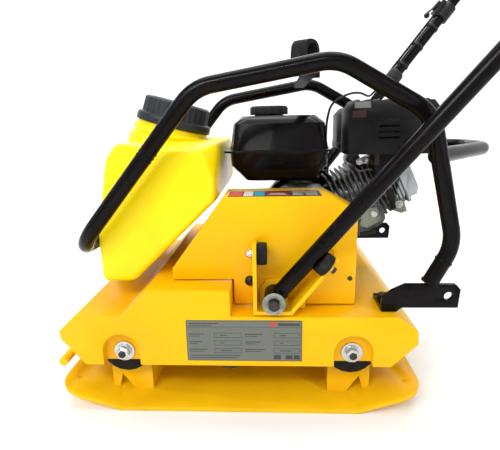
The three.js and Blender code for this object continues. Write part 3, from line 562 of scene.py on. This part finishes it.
for side_name, side in SIDES:
    up = along_handle(20, side) - along_handle(10, side)
    weld_bead(f"handle_weld_{side_name}", along_handle(18, side), up, TUBE, 1.5, "handle", BLACK)
    leg_up = v(CAGE[1][0] - CAGE[0][0], 0, CAGE[1][1] - CAGE[0][1])
    weld_bead(f"leg_weld_{side_name}", v(347.5, side * CAGE_Y, 271.5), leg_up, TUBE, 1.3, "deck",
              BLACK)
    rail_up = v(CAGE[4][0] - CAGE[5][0], 0, CAGE[4][1] - CAGE[5][1])
    for k, (x, z) in enumerate(((-142, 448), (-137, 454), (-132, 460))):
        weld_bead(f"rail_weld_{side_name}_{k}", v(x, side * CAGE_Y, z), rail_up, TUBE - 0.3, 1.1,
                  "deck", BLACK, 19 + k)
    weld_bead(f"guard_weld_{side_name}", v(329, side * (CAGE_Y - 6), 443), v(154, -side * 173, 0),
              TUBE - 0.5, 2.2, "deck", BLACK)
    weld_bead(f"foot_weld_{side_name}", v(328.5, side * CAGE_Y, 233.5), leg_up, TUBE - 0.6, 2.0,
              "deck", BLACK, 22)


def bead_line(name, start, end, thick, body, material):
    """A straight run of weld, laid as a row of overlapping ripples."""
    start, end = Vector(start), Vector(end)
    count = max(8, int((end - start).length / 1.6))
    route = [start.lerp(end, i / count) for i in range(count + 1)]

    def size(i):
        wave = 0.86 + 0.2 * math.sin(i * 1.9) + 0.06 * math.sin(i * 0.7)
        return thick * wave * (0.5 if i in (0, count) else 1)

    return mesh(name, *sweep_data(route, size, 10), material, body)


# ------------------------------------------------------------------ fasteners
def hex_bolt(name, base, axis, across, height, material, body, washer=0):
    """A hexagon bolt with a dimpled head, on a face; washer is its washer's radius."""
    base, axis = Vector(base), Vector(axis).normalized()
    corner = across / math.cos(math.pi / 6)
    parts = []
    if washer:
        parts.append(washer_data(base, axis, washer, across * 0.55, 1.6))
        base = base + axis * 1.6
    top = [(corner * 0.62, height), (corner * 0.55, height - 0.9), (0, height - 0.9)]
    parts.append(lathe_data([(0, 0), (corner - 0.3, 0), (corner, 0.5), (corner, height - 1.1),
                             (across * 0.97, height)] + top, base, axis, 6))
    return mesh(name, *compound(*parts), material, body)


for end_name, end in (("front", -1), ("rear", 1)):
    for side_name, side in SIDES:
        face = v(end * MOUNT_X, side * MOUNT_FACE, MOUNT_Z)
        tag = f"{end_name}_{side_name}"
        mesh(f"mount_washer_{tag}", *washer_data(face, side * Y, 18.5, 8, 3.2), ZINC, "deck")
        mesh(f"mount_spring_{tag}", *washer_data(face + side * Y * 3.2, side * Y, 13.4, 8, 2.6),
             ZINC, "deck")
        mesh(f"mount_nut_{tag}", *lathe_data([(7.2, 0), (11.4, 0), (12.0, 0.9), (12.0, 8.8),
                                              (10.4, 10), (7.6, 10),
                                              (6.9, 9.2), (6.9, 0)], face + side * Y * 5.8,
                                              side * Y, 6), ZINC, "deck")
        mesh(f"mount_stud_{tag}", *lathe_data(rounded([(0, 0), (6.4, 0), (6.4, 11.6), (5.2, 12.6),
                                                       (0, 12.6)], 0.5),
                                              face + side * Y * 5.2, side * Y, 24), DARK_STEEL,
                                              "deck")

for side_name, side in SIDES:
    out = side * Y
    hex_bolt(f"foot_bolt_{side_name}", (262, side * 184, 189.5), Z, 9, 8, DARK_STEEL, "deck", 13)
    stop = v(38.5 - 6.5 - 0.1, side * 220, 286)
    dome = [(0, 0), (7.4, 0), (7.4, 4.6), (6.2, 5.4), (6.0, 7.4), (5.0, 9.8), (3.0, 11.4), (0, 12)]
    mesh(f"acorn_washer_{side_name}", *washer_data(stop, -X, 9, 4, 1.3), ZINC, "deck")
    mesh(f"acorn_nut_{side_name}", *lathe_data(rounded(dome, 0.8), stop - X * 1.3, -X, 24), ZINC,
         "deck")
    across = v(math.sin(RISE), 0, -math.cos(RISE))
    arm = v(HUB.x + STOP_AT * math.cos(RISE), 0,
            HUB.z + STOP_AT * math.sin(RISE)) + across * STOP_OUTSIDE
    arm.y = side * 236
    mesh(f"buffer_washer_{side_name}", *washer_data(arm, across, 8, 4, 1.4), ZINC, "deck")
    hex_bolt(f"buffer_bolt_{side_name}", arm + across * 1.4, across, 5.6, 7, DARK_STEEL, "deck")
    mesh(f"pivot_washer_{side_name}", *washer_data(v(HUB.x, side * 251.7, HUB.z), out, 19.4, 10.4,
                                                   1.5), ALLOY, "deck")

dome = rounded([(0, 0), (9.4, 0), (9.4, 1.4), (7.4, 4.6), (3.6, 6.4), (0, 6.6)], 1.2)
mesh("guard_bolt_lower", *lathe_data(dome, v(25, GUARD_SIDE, 228), -Y, 28), DARK_STEEL, "deck")
mesh("guard_bolt_upper", *lathe_data([(r * 0.45, h * 0.6) for r, h in dome],
                                     v(200, GUARD_SIDE, 232), -Y, 20), DARK_STEEL, "deck")
for k, (x, y) in enumerate(((66, -72), (66, 70), (214, -72), (214, 70))):
    hex_bolt(f"engine_bolt_{k}", (x, y, 202.6), Z, 6.5, 6, ZINC, "deck", 10)
for k, angle in enumerate((35, 145, 215, 325)):
    a = math.radians(angle)
    hex_bolt(f"crank_cover_bolt_{k}", (CRANK.x + 49 * math.cos(a), -98.2,
                                       CRANK.z + 49 * math.sin(a)), -Y, 4.4, 4, ZINC, "deck")
for k in range(3):
    a = math.radians(90 + 120 * k)
    place = (CRANK.x + 68 * math.cos(a), RECOIL_FACE, CRANK.z + 68 * math.sin(a))
    hex_bolt(f"recoil_bolt_{k}", place, Y, 4.2, 4, ZINC, "deck", 6.5)
for k in range(6):
    a = math.radians(30 + 60 * k)
    place = (EXCITER.x + 43 * math.cos(a), -133.3, EXCITER.z + 43 * math.sin(a))
    hex_bolt(f"exciter_bolt_{k}", place, -Y, 5, 5, DARK_STEEL, "base")

# -------------------------------------------------- labels with plain blocks in place of print
LABEL_GREY = printed("label_grey", (0.125, 0.14, 0.12), (0.17, 0.18, 0.165), 0.38, 0.1)
INKS = {
    "ink_dark": printed("ink_dark", (0.03, 0.032, 0.03), (0.09, 0.09, 0.088)),
    "ink_red": printed("ink_red", (0.55, 0.035, 0.028), (0.62, 0.2, 0.16)),
    "ink_pale": printed("ink_pale", (0.60, 0.60, 0.56), (0.45, 0.45, 0.42)),
    "ink_teal": printed("ink_teal", (0.012, 0.30, 0.42), (0.16, 0.42, 0.5)),
    "ink_maroon": printed("ink_maroon", (0.035, 0.006, 0.007), (0.015, 0.006, 0.006)),
    "ink_wine": printed("ink_wine", (0.16, 0.012, 0.012), (0.05, 0.01, 0.01)),
}


BOX_SIDES = [[i, (i + 1) % 4, 4 + (i + 1) % 4, 4 + i] for i in range(4)]


def block(x0, x1, z0, z1, y, thick):
    """One raised rectangle that faces the left side."""
    verts = [v(x, yy, z) for yy in (y, y - thick) for x, z in ((x0, z0), (x1, z0), (x1, z1),
                                                               (x0, z1))]
    return verts, [[0, 1, 2, 3], [7, 6, 5, 4]] + BOX_SIDES


def outline_box(x0, x1, z0, z1, y, line=0.7, thick=0.12):
    """Four thin blocks that frame a rectangle."""
    return [block(x0, x1, z0, z0 + line, y, thick), block(x0, x1, z1 - line, z1, y, thick),
            block(x0, x0 + line, z0, z1, y, thick), block(x1 - line, x1, z0, z1, y, thick)]


plate = round_rect(198, 76, 1.5, 15, 137.5)
mesh("data_plate", *slab_data(plate, -Y, X, v(0, DECK_SIDE, 0), 0.9, 0.3), LABEL_GREY, "deck")
face_y = -245.55
marks = [block(-83, 113, 163, 163.6, face_y, 0.12)] + outline_box(-84, 114, 99.6, 175.4, face_y,
                                                                  0.8)
for column, (label_x, box_x, box_end) in enumerate(((-79, -36, 11), (17, 66, 110))):
    for row in range(3):
        z = 146 - row * 14.5
        marks += outline_box(box_x, box_end, z - 2.5, z + 6.5, face_y)
        marks.append(block(label_x, label_x + (26, 22, 30)[row] + 4 * column, z + 3.4, z + 4.9,
                           face_y, 0.12))
        marks.append(block(label_x, label_x + (18, 14, 24)[row] + 3 * column, z - 0.2, z + 0.9,
                           face_y, 0.12))
        marks.append(block(box_x + 10, box_x + (22, 17, 30)[row], z + 1.2, z + 2.6, face_y, 0.12))
for k, (x0, x1) in enumerate(((-79, 8), (-79, 2), (66, 78), (86, 98), (100, 110))):
    z = 109 - k * 4.2 if k < 2 else 103
    marks.append(block(x0, x1, z, z + (1.3 if k < 2 else 8), face_y, 0.12))
marks += [block(-79, -28, 169, 170.8, face_y, 0.12), block(-79, -40, 165.4, 166.6, face_y, 0.12),
          block(74, 110, 166.2, 170.6, face_y, 0.12)]
mesh("plate_marks", *compound(*marks), INKS["ink_dark"], "deck", smooth=False)
mesh("plate_badge", *block(60, 70, 164.8, 172.4, face_y, 0.14), INKS["ink_red"], "deck",
     smooth=False)


def top_block(x0, x1, y0, y1, z, thick):
    """One raised rectangle that faces up."""
    verts = [v(x, y, zz) for zz in (z, z + thick) for x, y in ((x0, y0), (x1, y0), (x1, y1),
                                                               (x0, y1))]
    return verts, [[3, 2, 1, 0], [4, 5, 6, 7]] + BOX_SIDES


strip_y = (-184, -128)
mesh("strip_base", *top_block(-11, 150, *strip_y, GUARD_TOP, 0.3), INKS["ink_dark"], "deck",
     smooth=False)
for k, (ink, x0, x1) in enumerate((("ink_red", -9, 13), ("ink_pale", 15, 32), ("ink_teal", 34, 52),
                                   ("ink_wine", 54, 96), ("ink_dark", 98, 148))):
    mesh(f"strip_panel_{k}", *top_block(x0, x1, strip_y[0] + 3, strip_y[1] - 3, 377.3, 0.4),
         INKS[ink], "deck", smooth=False)
bars = [top_block(x, x + w, y, y + 3.5, 377.6, 0.3) for x, w, y in
        ((58, 34, -172), (62, 26, -160), (100, 20, -174), (124, 20, -174), (102, 16, -162),
         (124, 20, -162), (101, 43, -148))]
mesh("strip_bars", *compound(*bars), INKS["ink_pale"], "deck", smooth=False)


# ------------------------------------------------------------------ tank, caps and grip
def ribbed(name, profile, base, axis, material, body, count, depth, low, high, slot, replaced,
           r=1.5):
    """A turned cap with grip ribs on the rings whose radius lies between low and high."""
    soft = rounded(profile, r)

    def ripple(a, i):
        inside = low < soft[i][0] < high
        return 1 + depth * (abs(math.cos(count * a / 2)) - 0.5) if inside else 1
    return mesh(name, *lathe_data(soft, base, axis, 168, ripple=ripple), material, body, slot=slot,
                replaced=replaced)


def moulded_data(points, bevel, segments=4):
    """The convex hull of the points with all its edges rounded."""
    shape = bmesh.new()
    for p in points:
        shape.verts.new(p)
    bmesh.ops.convex_hull(shape, input=shape.verts)
    bmesh.ops.dissolve_limit(shape, angle_limit=math.radians(2), verts=shape.verts,
                             edges=shape.edges)
    loose = [vert for vert in shape.verts if not vert.link_faces]
    bmesh.ops.delete(shape, geom=loose, context="VERTS")
    edges = [e for e in shape.edges if e.is_manifold and e.calc_face_angle() > math.radians(6)]
    bmesh.ops.bevel(shape, geom=edges, offset=bevel, offset_type="OFFSET", segments=segments,
                    profile=0.5, affect="EDGES", clamp_overlap=True)
    shape.verts.index_update()
    data = ([vert.co.copy() for vert in shape.verts],
            [[vert.index for vert in f.verts] for f in shape.faces])
    shape.free()
    return data


FLANK = ((-246, 222), (-188, 222), (-118, 289), (-33, 372), (-33, 398), (-56, 457), (-107, 458),
         (-247, 304))
CENTRE = ((-254, 222), (-190, 218), (-120, 284), (-32, 368), (-32, 468), (-222, 468), (-244, 440),
          (-258, 300))
tank_points = [v(x, y, z) for half, section in ((185, FLANK), (128, CENTRE)) for y in (-half,
    half) for x, z in section]
neck = [(0, -112), (74, -112), (84, -78), (84, -42), (80, -36), (74, -33), (78, -28), (78, -20),
        (72, -16), (70, 0),
        (0, 0)]
mesh("tank_shell", *compound(moulded_data(tank_points, 9), lathe_data(rounded(neck, 3), CAP,
                                                                      CAP_AXIS, 72)), TANK,
     "deck", slot="tank_shell", replaced=["water_tank"])

screw_cap = [(0, 1), (71.5, 1), (71.5, -10), (76, -10), (76, 0), (74, 6), (67, 8), (65.5, 36),
             (60, 40), (50, 36), (0, 36)]
ribbed("water_cap_shell", screw_cap, CAP, CAP_AXIS, CAP_PLASTIC, "water_cap", 36, 0.022, 63, 68,
       "tank_plastic",
       ["water_cap"], 1.2)
filler = [(0, 0), (38, 0), (38, 13), (35, 17), (0, 17)]
ribbed("fuel_cap_shell", filler, (60, 5, 515), Z, PLASTIC, "fuel_cap", 16, 0.05, 34.6, 39,
       "black_plastic", ["fuel_cap"])

grip = [(TUBE + 0.3, 0), (17.2, 0)]
for k in range(GRIP_RIBS):
    grip += [(17.0, 4 + k * GRIP_PITCH), (15.8, 7.4 + k * GRIP_PITCH), (15.8, 9.4 + k * GRIP_PITCH)]
grip += [(17.2, GRIP_LENGTH), (TUBE + 0.3, GRIP_LENGTH), (TUBE + 0.3, 0)]
mesh("grip_ribs", *lathe_data(rounded(grip, 1), v(grip_end.x, GRIP_START, grip_end.z), Y, 40),
     RUBBER, "handle",
     slot="rubber", replaced=["grip_sleeve"])

# ------------------------------------------------------------------ throttle cable
lift = v(-math.sin(RISE), 0, math.cos(RISE)) * CABLE_LIFT
cable_stops = [along_handle(CABLE_LOWEST + 1.7, 1) + lift, along_handle(CABLE_LOWEST - 22,
                                                                        1) + lift, v(317, 262, 560),
               v(288, 214, 565), v(256, 160, 562), v(222, 112, 550), v(198, 84, 532),
               v(188, 72, 500), v(186, 68, 470),
               v(185.5, 67.7, 437)]


def spline(points, steps=9):
    """A smooth run through every point."""
    ends = [2 * points[0] - points[1]] + points + [2 * points[-1] - points[-2]]
    route = []
    for a, b, c, d in zip(ends, ends[1:], ends[2:], ends[3:]):
        for i in range(steps):
            t = i / steps
            route.append(0.5 * (2 * b + (c - a) * t + (2 * a - 5 * b + 4 * c - d) * t * t
                                + (3 * b - a - 3 * c + d) * t ** 3))
    return route + [points[-1]]


cable_route = spline(cable_stops)
cable = mesh("throttle_cable_run", *sweep_data(cable_route, 2.6, 16), RUBBER, None,
             slot="rubber",
             replaced=["throttle_cable_arc"])
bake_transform(cable)

# ------------------------------------------------------------------ drive belt
def belt_route(top, low, top_radius, low_radius, steps=26):
    """The loop of a belt round two pulleys, as (point, outward) pairs in the XZ plane."""
    line = top - low
    lean = math.atan2(line.z, line.x)
    open_angle = math.acos((low_radius - top_radius) / line.length)
    out = []
    for centre, radius, start, end in ((top, top_radius, lean - open_angle, lean + open_angle),
                                       (low, low_radius, lean + open_angle,
                                        lean - open_angle + 2 * math.pi)):
        for i in range(steps + 1):
            a = start + (end - start) * i / steps
            way = v(math.cos(a), 0, math.sin(a))
            out.append((centre + way * radius, way))
    return out


def belt_loop(pairs, spacing):
    """The same loop with points at even spacing, so that the cogs have an even pitch."""
    points = [p for p, _ in pairs] + [pairs[0][0]]
    ways = [w for _, w in pairs] + [pairs[0][1]]
    total = sum((b - a).length for a, b in zip(points, points[1:]))
    count = int(total / spacing)
    out, walked, k = [], 0.0, 0
    for i in range(count):
        goal = total * i / count
        while walked + (points[k + 1] - points[k]).length < goal:
            walked += (points[k + 1] - points[k]).length
            k += 1
        t = (goal - walked) / (points[k + 1] - points[k]).length
        out.append((points[k].lerp(points[k + 1], t), ways[k].lerp(ways[k + 1], t).normalized()))
    return out


loop = belt_loop(belt_route(CRANK, EXCITER, DRUM_RADIUS, PULLEY_RADIUS), 3.0)
belt_verts, belt_faces = [], []
for i, (point, way) in enumerate(loop):
    inner = -4.5 if i % 4 < 2 else -2.6
    for across, out in ((-4.3, 3.4), (-3.8, 3.9), (3.8, 3.9), (4.3, 3.4), (3.0, inner),
                        (-3.0, inner)):
        belt_verts.append(v(point.x, BELT_Y + across, point.z) + way * out)
for i in range(len(loop)):
    j = (i + 1) % len(loop)
    belt_faces += [[i * 6 + k, i * 6 + (k + 1) % 6, j * 6 + (k + 1) % 6,
                    j * 6 + k] for k in range(6)]
belt = mesh("cogged_belt", belt_verts, belt_faces, RUBBER, None, slot="rubber",
            replaced=["drive_belt"])
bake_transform(belt)

# ------------------------------------------------------------------ engine details
LINK = metal("passivated_steel", (0.30, 0.31, 0.26), (0.15, 0.16, 0.11), 0.3, (400, 400, 400), 0.15)
mesh("lug_washer", *washer_data(v(265, -70.2, 320), -Y, 11, 4, 1.8), ZINC, "deck")
hex_bolt("lug_bolt", (265, -72, 320), -Y, 6.4, 5.5, ZINC, "deck")
mesh("lug_plate", *slab_data([(238, 296), (254, 292), (268, 300), (280, 306), (277, 314),
                              (270, 334), (256, 332),
                              (242, 318)], -Y, X, v(0, -73.4, 0), 1.6, 0.4), LINK, "deck")
mesh("wire_guide", *slab_data([(240, 273), (272, 280), (272, 286), (240, 283)], -Y, X,
                              v(0, -58, 0), 15, 1), PLASTIC, "deck")
mesh("cover_bracket", *slab_data([(306, 324), (322, 318), (334, 322), (330, 333), (326, 349),
                                  (310, 347)], -Y, X,
                                 v(0, -58, 0), 2.5, 0.6), LINK, "deck")
mesh("cover_bar", *slab_data([(311, 348), (327, 348), (331, 408), (316, 408)], -Y, X, v(0, -56, 0),
                             4, 1), COVER_GREY, "deck")
hex_bolt("bracket_bolt", (317, -60.5, 336.6), -Y, 5, 4.5, ZINC, "deck", 7.5)
mesh("exhaust_elbow", *slab_data([(250, 442), (306, 442), (300, 404), (290, 378), (272, 372),
                                  (260, 396)], -Y, X,
                                 v(0, -64, 0), 26, 4), HEAT_BLACK, "deck")
mesh("linkage_plate", *slab_data([(228, 417), (258, 420), (262, 428), (246, 431), (228, 428)], -Y,
                                 X, v(0, -66, 0), 2, 0.5),
     LINK, "deck")
for k, (x, z, size) in enumerate(((234, 423, 4), (247, 425, 3.4), (257, 423, 2.6))):
    hex_bolt(f"linkage_screw_{k}", (x, -68.2, z), -Y, size, 3.5, ZINC, "deck", size * 1.6)
rods = [fillet([v(230, -72, 427), v(262, -72, 418), v(286, -74, 414), v(292, -74, 398)], 8, 5),
        fillet([v(226, -70, 410), v(236, -70, 404), v(252, -71, 409), v(276, -71, 402)], 6, 5)]
mesh("linkage_rods", *compound(*[sweep_data(route, 1.3, 10) for route in rods]), LINK, "deck")


def coil_data(start, end, radius, wire, turns):
    """A wire spring between two points."""
    start, end = Vector(start), Vector(end)
    axis = (end - start).normalized()
    a0 = axis.orthogonal().normalized()
    a1 = axis.cross(a0)
    count = turns * 12
    route = [start.lerp(end, i / count)
             + (a0 * math.cos(math.pi * i / 6) + a1 * math.sin(math.pi * i / 6)) * radius
             for i in range(count + 1)]
    return sweep_data(route, wire, 8)


mesh("governor_spring", *coil_data((262, -73, 404), (284, -73, 416), 3, 0.8, 11), ZINC, "deck")
mesh("plug_boot", *lathe_data(rounded([(0, 0), (6, 0), (7.5, 5), (7.5, 20), (5.5, 26), (5, 40),
                                       (0, 40)], 1.5),
                              v(290, -84, 372), v(0.2, -0.2, -1), 28), RUBBER, "deck")
mesh("plug_nut", *lathe_data([(0, 0), (7, 0), (7.6, 0.8), (7.6, 7), (5, 8.5), (0, 8.5)],
                             v(290, -81, 388), v(0.2, -0.2, -1), 6),
     ZINC, "deck")
mesh("shield_tag_red", *block(208, 232, 505, 517, -122.05, 0.35), INKS["ink_maroon"], "deck",
     smooth=False)


def tilted_tag(x0, x1, z0, z1, y0, y1, lift):
    """A thin tag on a sloping face: its lower edge at (y0, z0), its upper at (y1, z1)."""
    face = Vector((0, y1 - y0, z1 - z0)).normalized()
    out = v(0, -face.z, face.y) * lift
    flat = [v(x0, y0, z0), v(x1, y0, z0), v(x1, y1, z1), v(x0, y1, z1)]
    verts = flat + [p + out for p in flat]
    return verts, [[3, 2, 1, 0], [4, 5, 6, 7]] + BOX_SIDES


mesh("shield_tag_grey", *tilted_tag(212, 240, 521, 532, -120, -113.5, 0.5), LABEL_GREY, "deck",
     smooth=False)
ribs = [sweep_data([v(x, -104, 534), v(x, -98, 535.2), v(x, -60, 535.2), v(x, -54, 534)], 2.0, 10)
        for x in (221.5, 240, 258, 276, 294, 312, 330, 344)]
mesh("shield_ribs", *compound(*ribs), HEAT_BLACK, "deck")

collar = rounded([(13.6, 0), (17, 0), (20, 4), (20, 24), (17, 30), (13.6, 30), (13.6, 0)], 1)
up_right = (along_handle(20, 1) - along_handle(10, 1)).normalized()
mesh("handle_collar", *lathe_data(collar, along_handle(498, 1), up_right, 32), PLASTIC, "handle")
for k, place in enumerate((546, 606, 664)):
    mesh(f"cable_clip_{k}", *lathe_data(rounded([(13.6, 0), (15.4, 0), (15.4, 7), (13.6, 7),
                                                 (13.6, 0)], 0.6),
                                        along_handle(place, 1), up_right, 32), PLASTIC, "handle")

# Fan grille of the starter, on the right side.
for k in range(12):
    a = math.radians(15 + 30 * k)
    inner, outer = [CRANK + v(math.cos(a) * r, 0, math.sin(a) * r) for r in (40, 56)]
    inner.y = outer.y = 156.7
    mesh(f"recoil_rib_{k}", *sweep_data([inner, inner.lerp(outer, 0.5) + Y * 0.8, outer], 1.8, 8),
         ENGINE_BLACK, "deck")

# Weld runs under the handle brackets and in front of the front mount brackets.
for side_name, side in SIDES:
    bead_line(f"bracket_weld_{side_name}", (39, side * 205, 188.6), (92, side * 205, 188.6), 2.0,
              "deck", YELLOW)
    bead_line(f"plate_weld_{side_name}", (-174, side * 150, 23), (-158, side * 150, 23), 1.6,
              "base", YELLOW_WORN)


# ------------------------------------------------------------------ floor, light and camera
BELOW_SOLE = 0.0006
CAMERA_PLACE = (0.0658, -0.8947, 0.5026)
PITCH, YAW, ROLL = math.radians(13.869), math.radians(3.185), math.radians(-1.248)
LENS, SENSOR = 30.24, 36


def studio_sweep():
    """A floor that curves up into a backdrop all round, far from the machine."""
    rings = [(0.05, 0), (3.6, 0), (4.4, 0.06), (5.0, 0.3), (5.4, 0.8), (5.5, 1.6), (5.5, 6.0)]
    sides = 48
    verts = [(r * math.cos(2 * math.pi * k / sides), r * math.sin(2 * math.pi * k / sides),
              z - BELOW_SOLE)
             for r, z in rings for k in range(sides)]
    faces = [[i * sides + k, i * sides + (k + 1) % sides, (i + 1) * sides + (k + 1) % sides,
              (i + 1) * sides + k]
             for i in range(len(rings) - 1) for k in range(sides)] + [list(reversed(range(sides)))]
    data = bpy.data.meshes.new("studio_sweep")
    data.from_pydata(verts, [], faces)
    data.polygons.foreach_set("use_smooth", [True] * len(data.polygons))
    sweep = bpy.data.objects.new("studio_sweep", data)
    bpy.context.scene.collection.objects.link(sweep)
    n = Nodes("studio_white")
    n.colour(n.mix(n.level(n.noise(2, 2), 0, 1, 0.3, 0.7), (0.94, 0.94, 0.94), (0.92, 0.92, 0.92)))
    n.set(Roughness=0.9)
    n.shader.inputs["Specular IOR Level"].default_value = 0.0
    data.materials.append(n.material)


def area_light(name, place, target, size, power):
    """A soft rectangular light at a place, turned to its target."""
    light = bpy.data.lights.new(name, "AREA")
    light.shape = "RECTANGLE"
    light.size, light.size_y = size
    light.energy = power
    obj = bpy.data.objects.new(name, light)
    obj.location = place
    obj.rotation_euler = (Vector(target) - Vector(place)).to_track_quat("-Z", "Y").to_euler()
    bpy.context.scene.collection.objects.link(obj)


def camera():
    """The camera that matches the photo's view."""
    forward = v(-math.sin(YAW) * math.cos(PITCH), math.cos(YAW) * math.cos(PITCH), -math.sin(PITCH))
    level = v(math.cos(YAW), math.sin(YAW), 0)
    upright = level.cross(forward)
    right = level * math.cos(ROLL) + upright * math.sin(ROLL)
    up = upright * math.cos(ROLL) - level * math.sin(ROLL)
    data = bpy.data.cameras.new("camera")
    data.lens = LENS
    data.sensor_width = SENSOR
    data.clip_start = 0.02
    obj = bpy.data.objects.new("camera", data)
    turn = Matrix((right, up, -forward)).transposed().to_4x4()
    obj.matrix_world = Matrix.Translation(CAMERA_PLACE) @ turn
    bpy.context.scene.collection.objects.link(obj)
    bpy.context.scene.camera = obj


studio_sweep()
area_light("key", (-1.4, -2.2, 2.3), (0, 0, 0.3), (1.8, 1.4), 34)
area_light("strip", (-0.5, -2.0, 1.9), (0, 0, 0.4), (1.8, 0.05), 20)
area_light("fill", (1.8, -1.9, 1.1), (0.1, 0, 0.3), (1.4, 1.6), 9)
area_light("top", (0.1, 0.2, 3.0), (0, 0, 0.2), (2.6, 2.6), 44)
area_light("back", (-0.3, 2.6, 2.2), (0, 0, 0.3), (2.4, 1.2), 18)
area_light("wall", (0, 0.9, 3.6), (0, 5.2, 1.2), (3.0, 2.0), 150)
world = bpy.data.worlds.new("studio")
world.use_nodes = True
world.node_tree.nodes["Background"].inputs["Color"].default_value = (1, 1, 1, 1)
world.node_tree.nodes["Background"].inputs["Strength"].default_value = 0.38
bpy.context.scene.world = world
bpy.context.scene.view_settings.view_transform = "Standard"
camera()
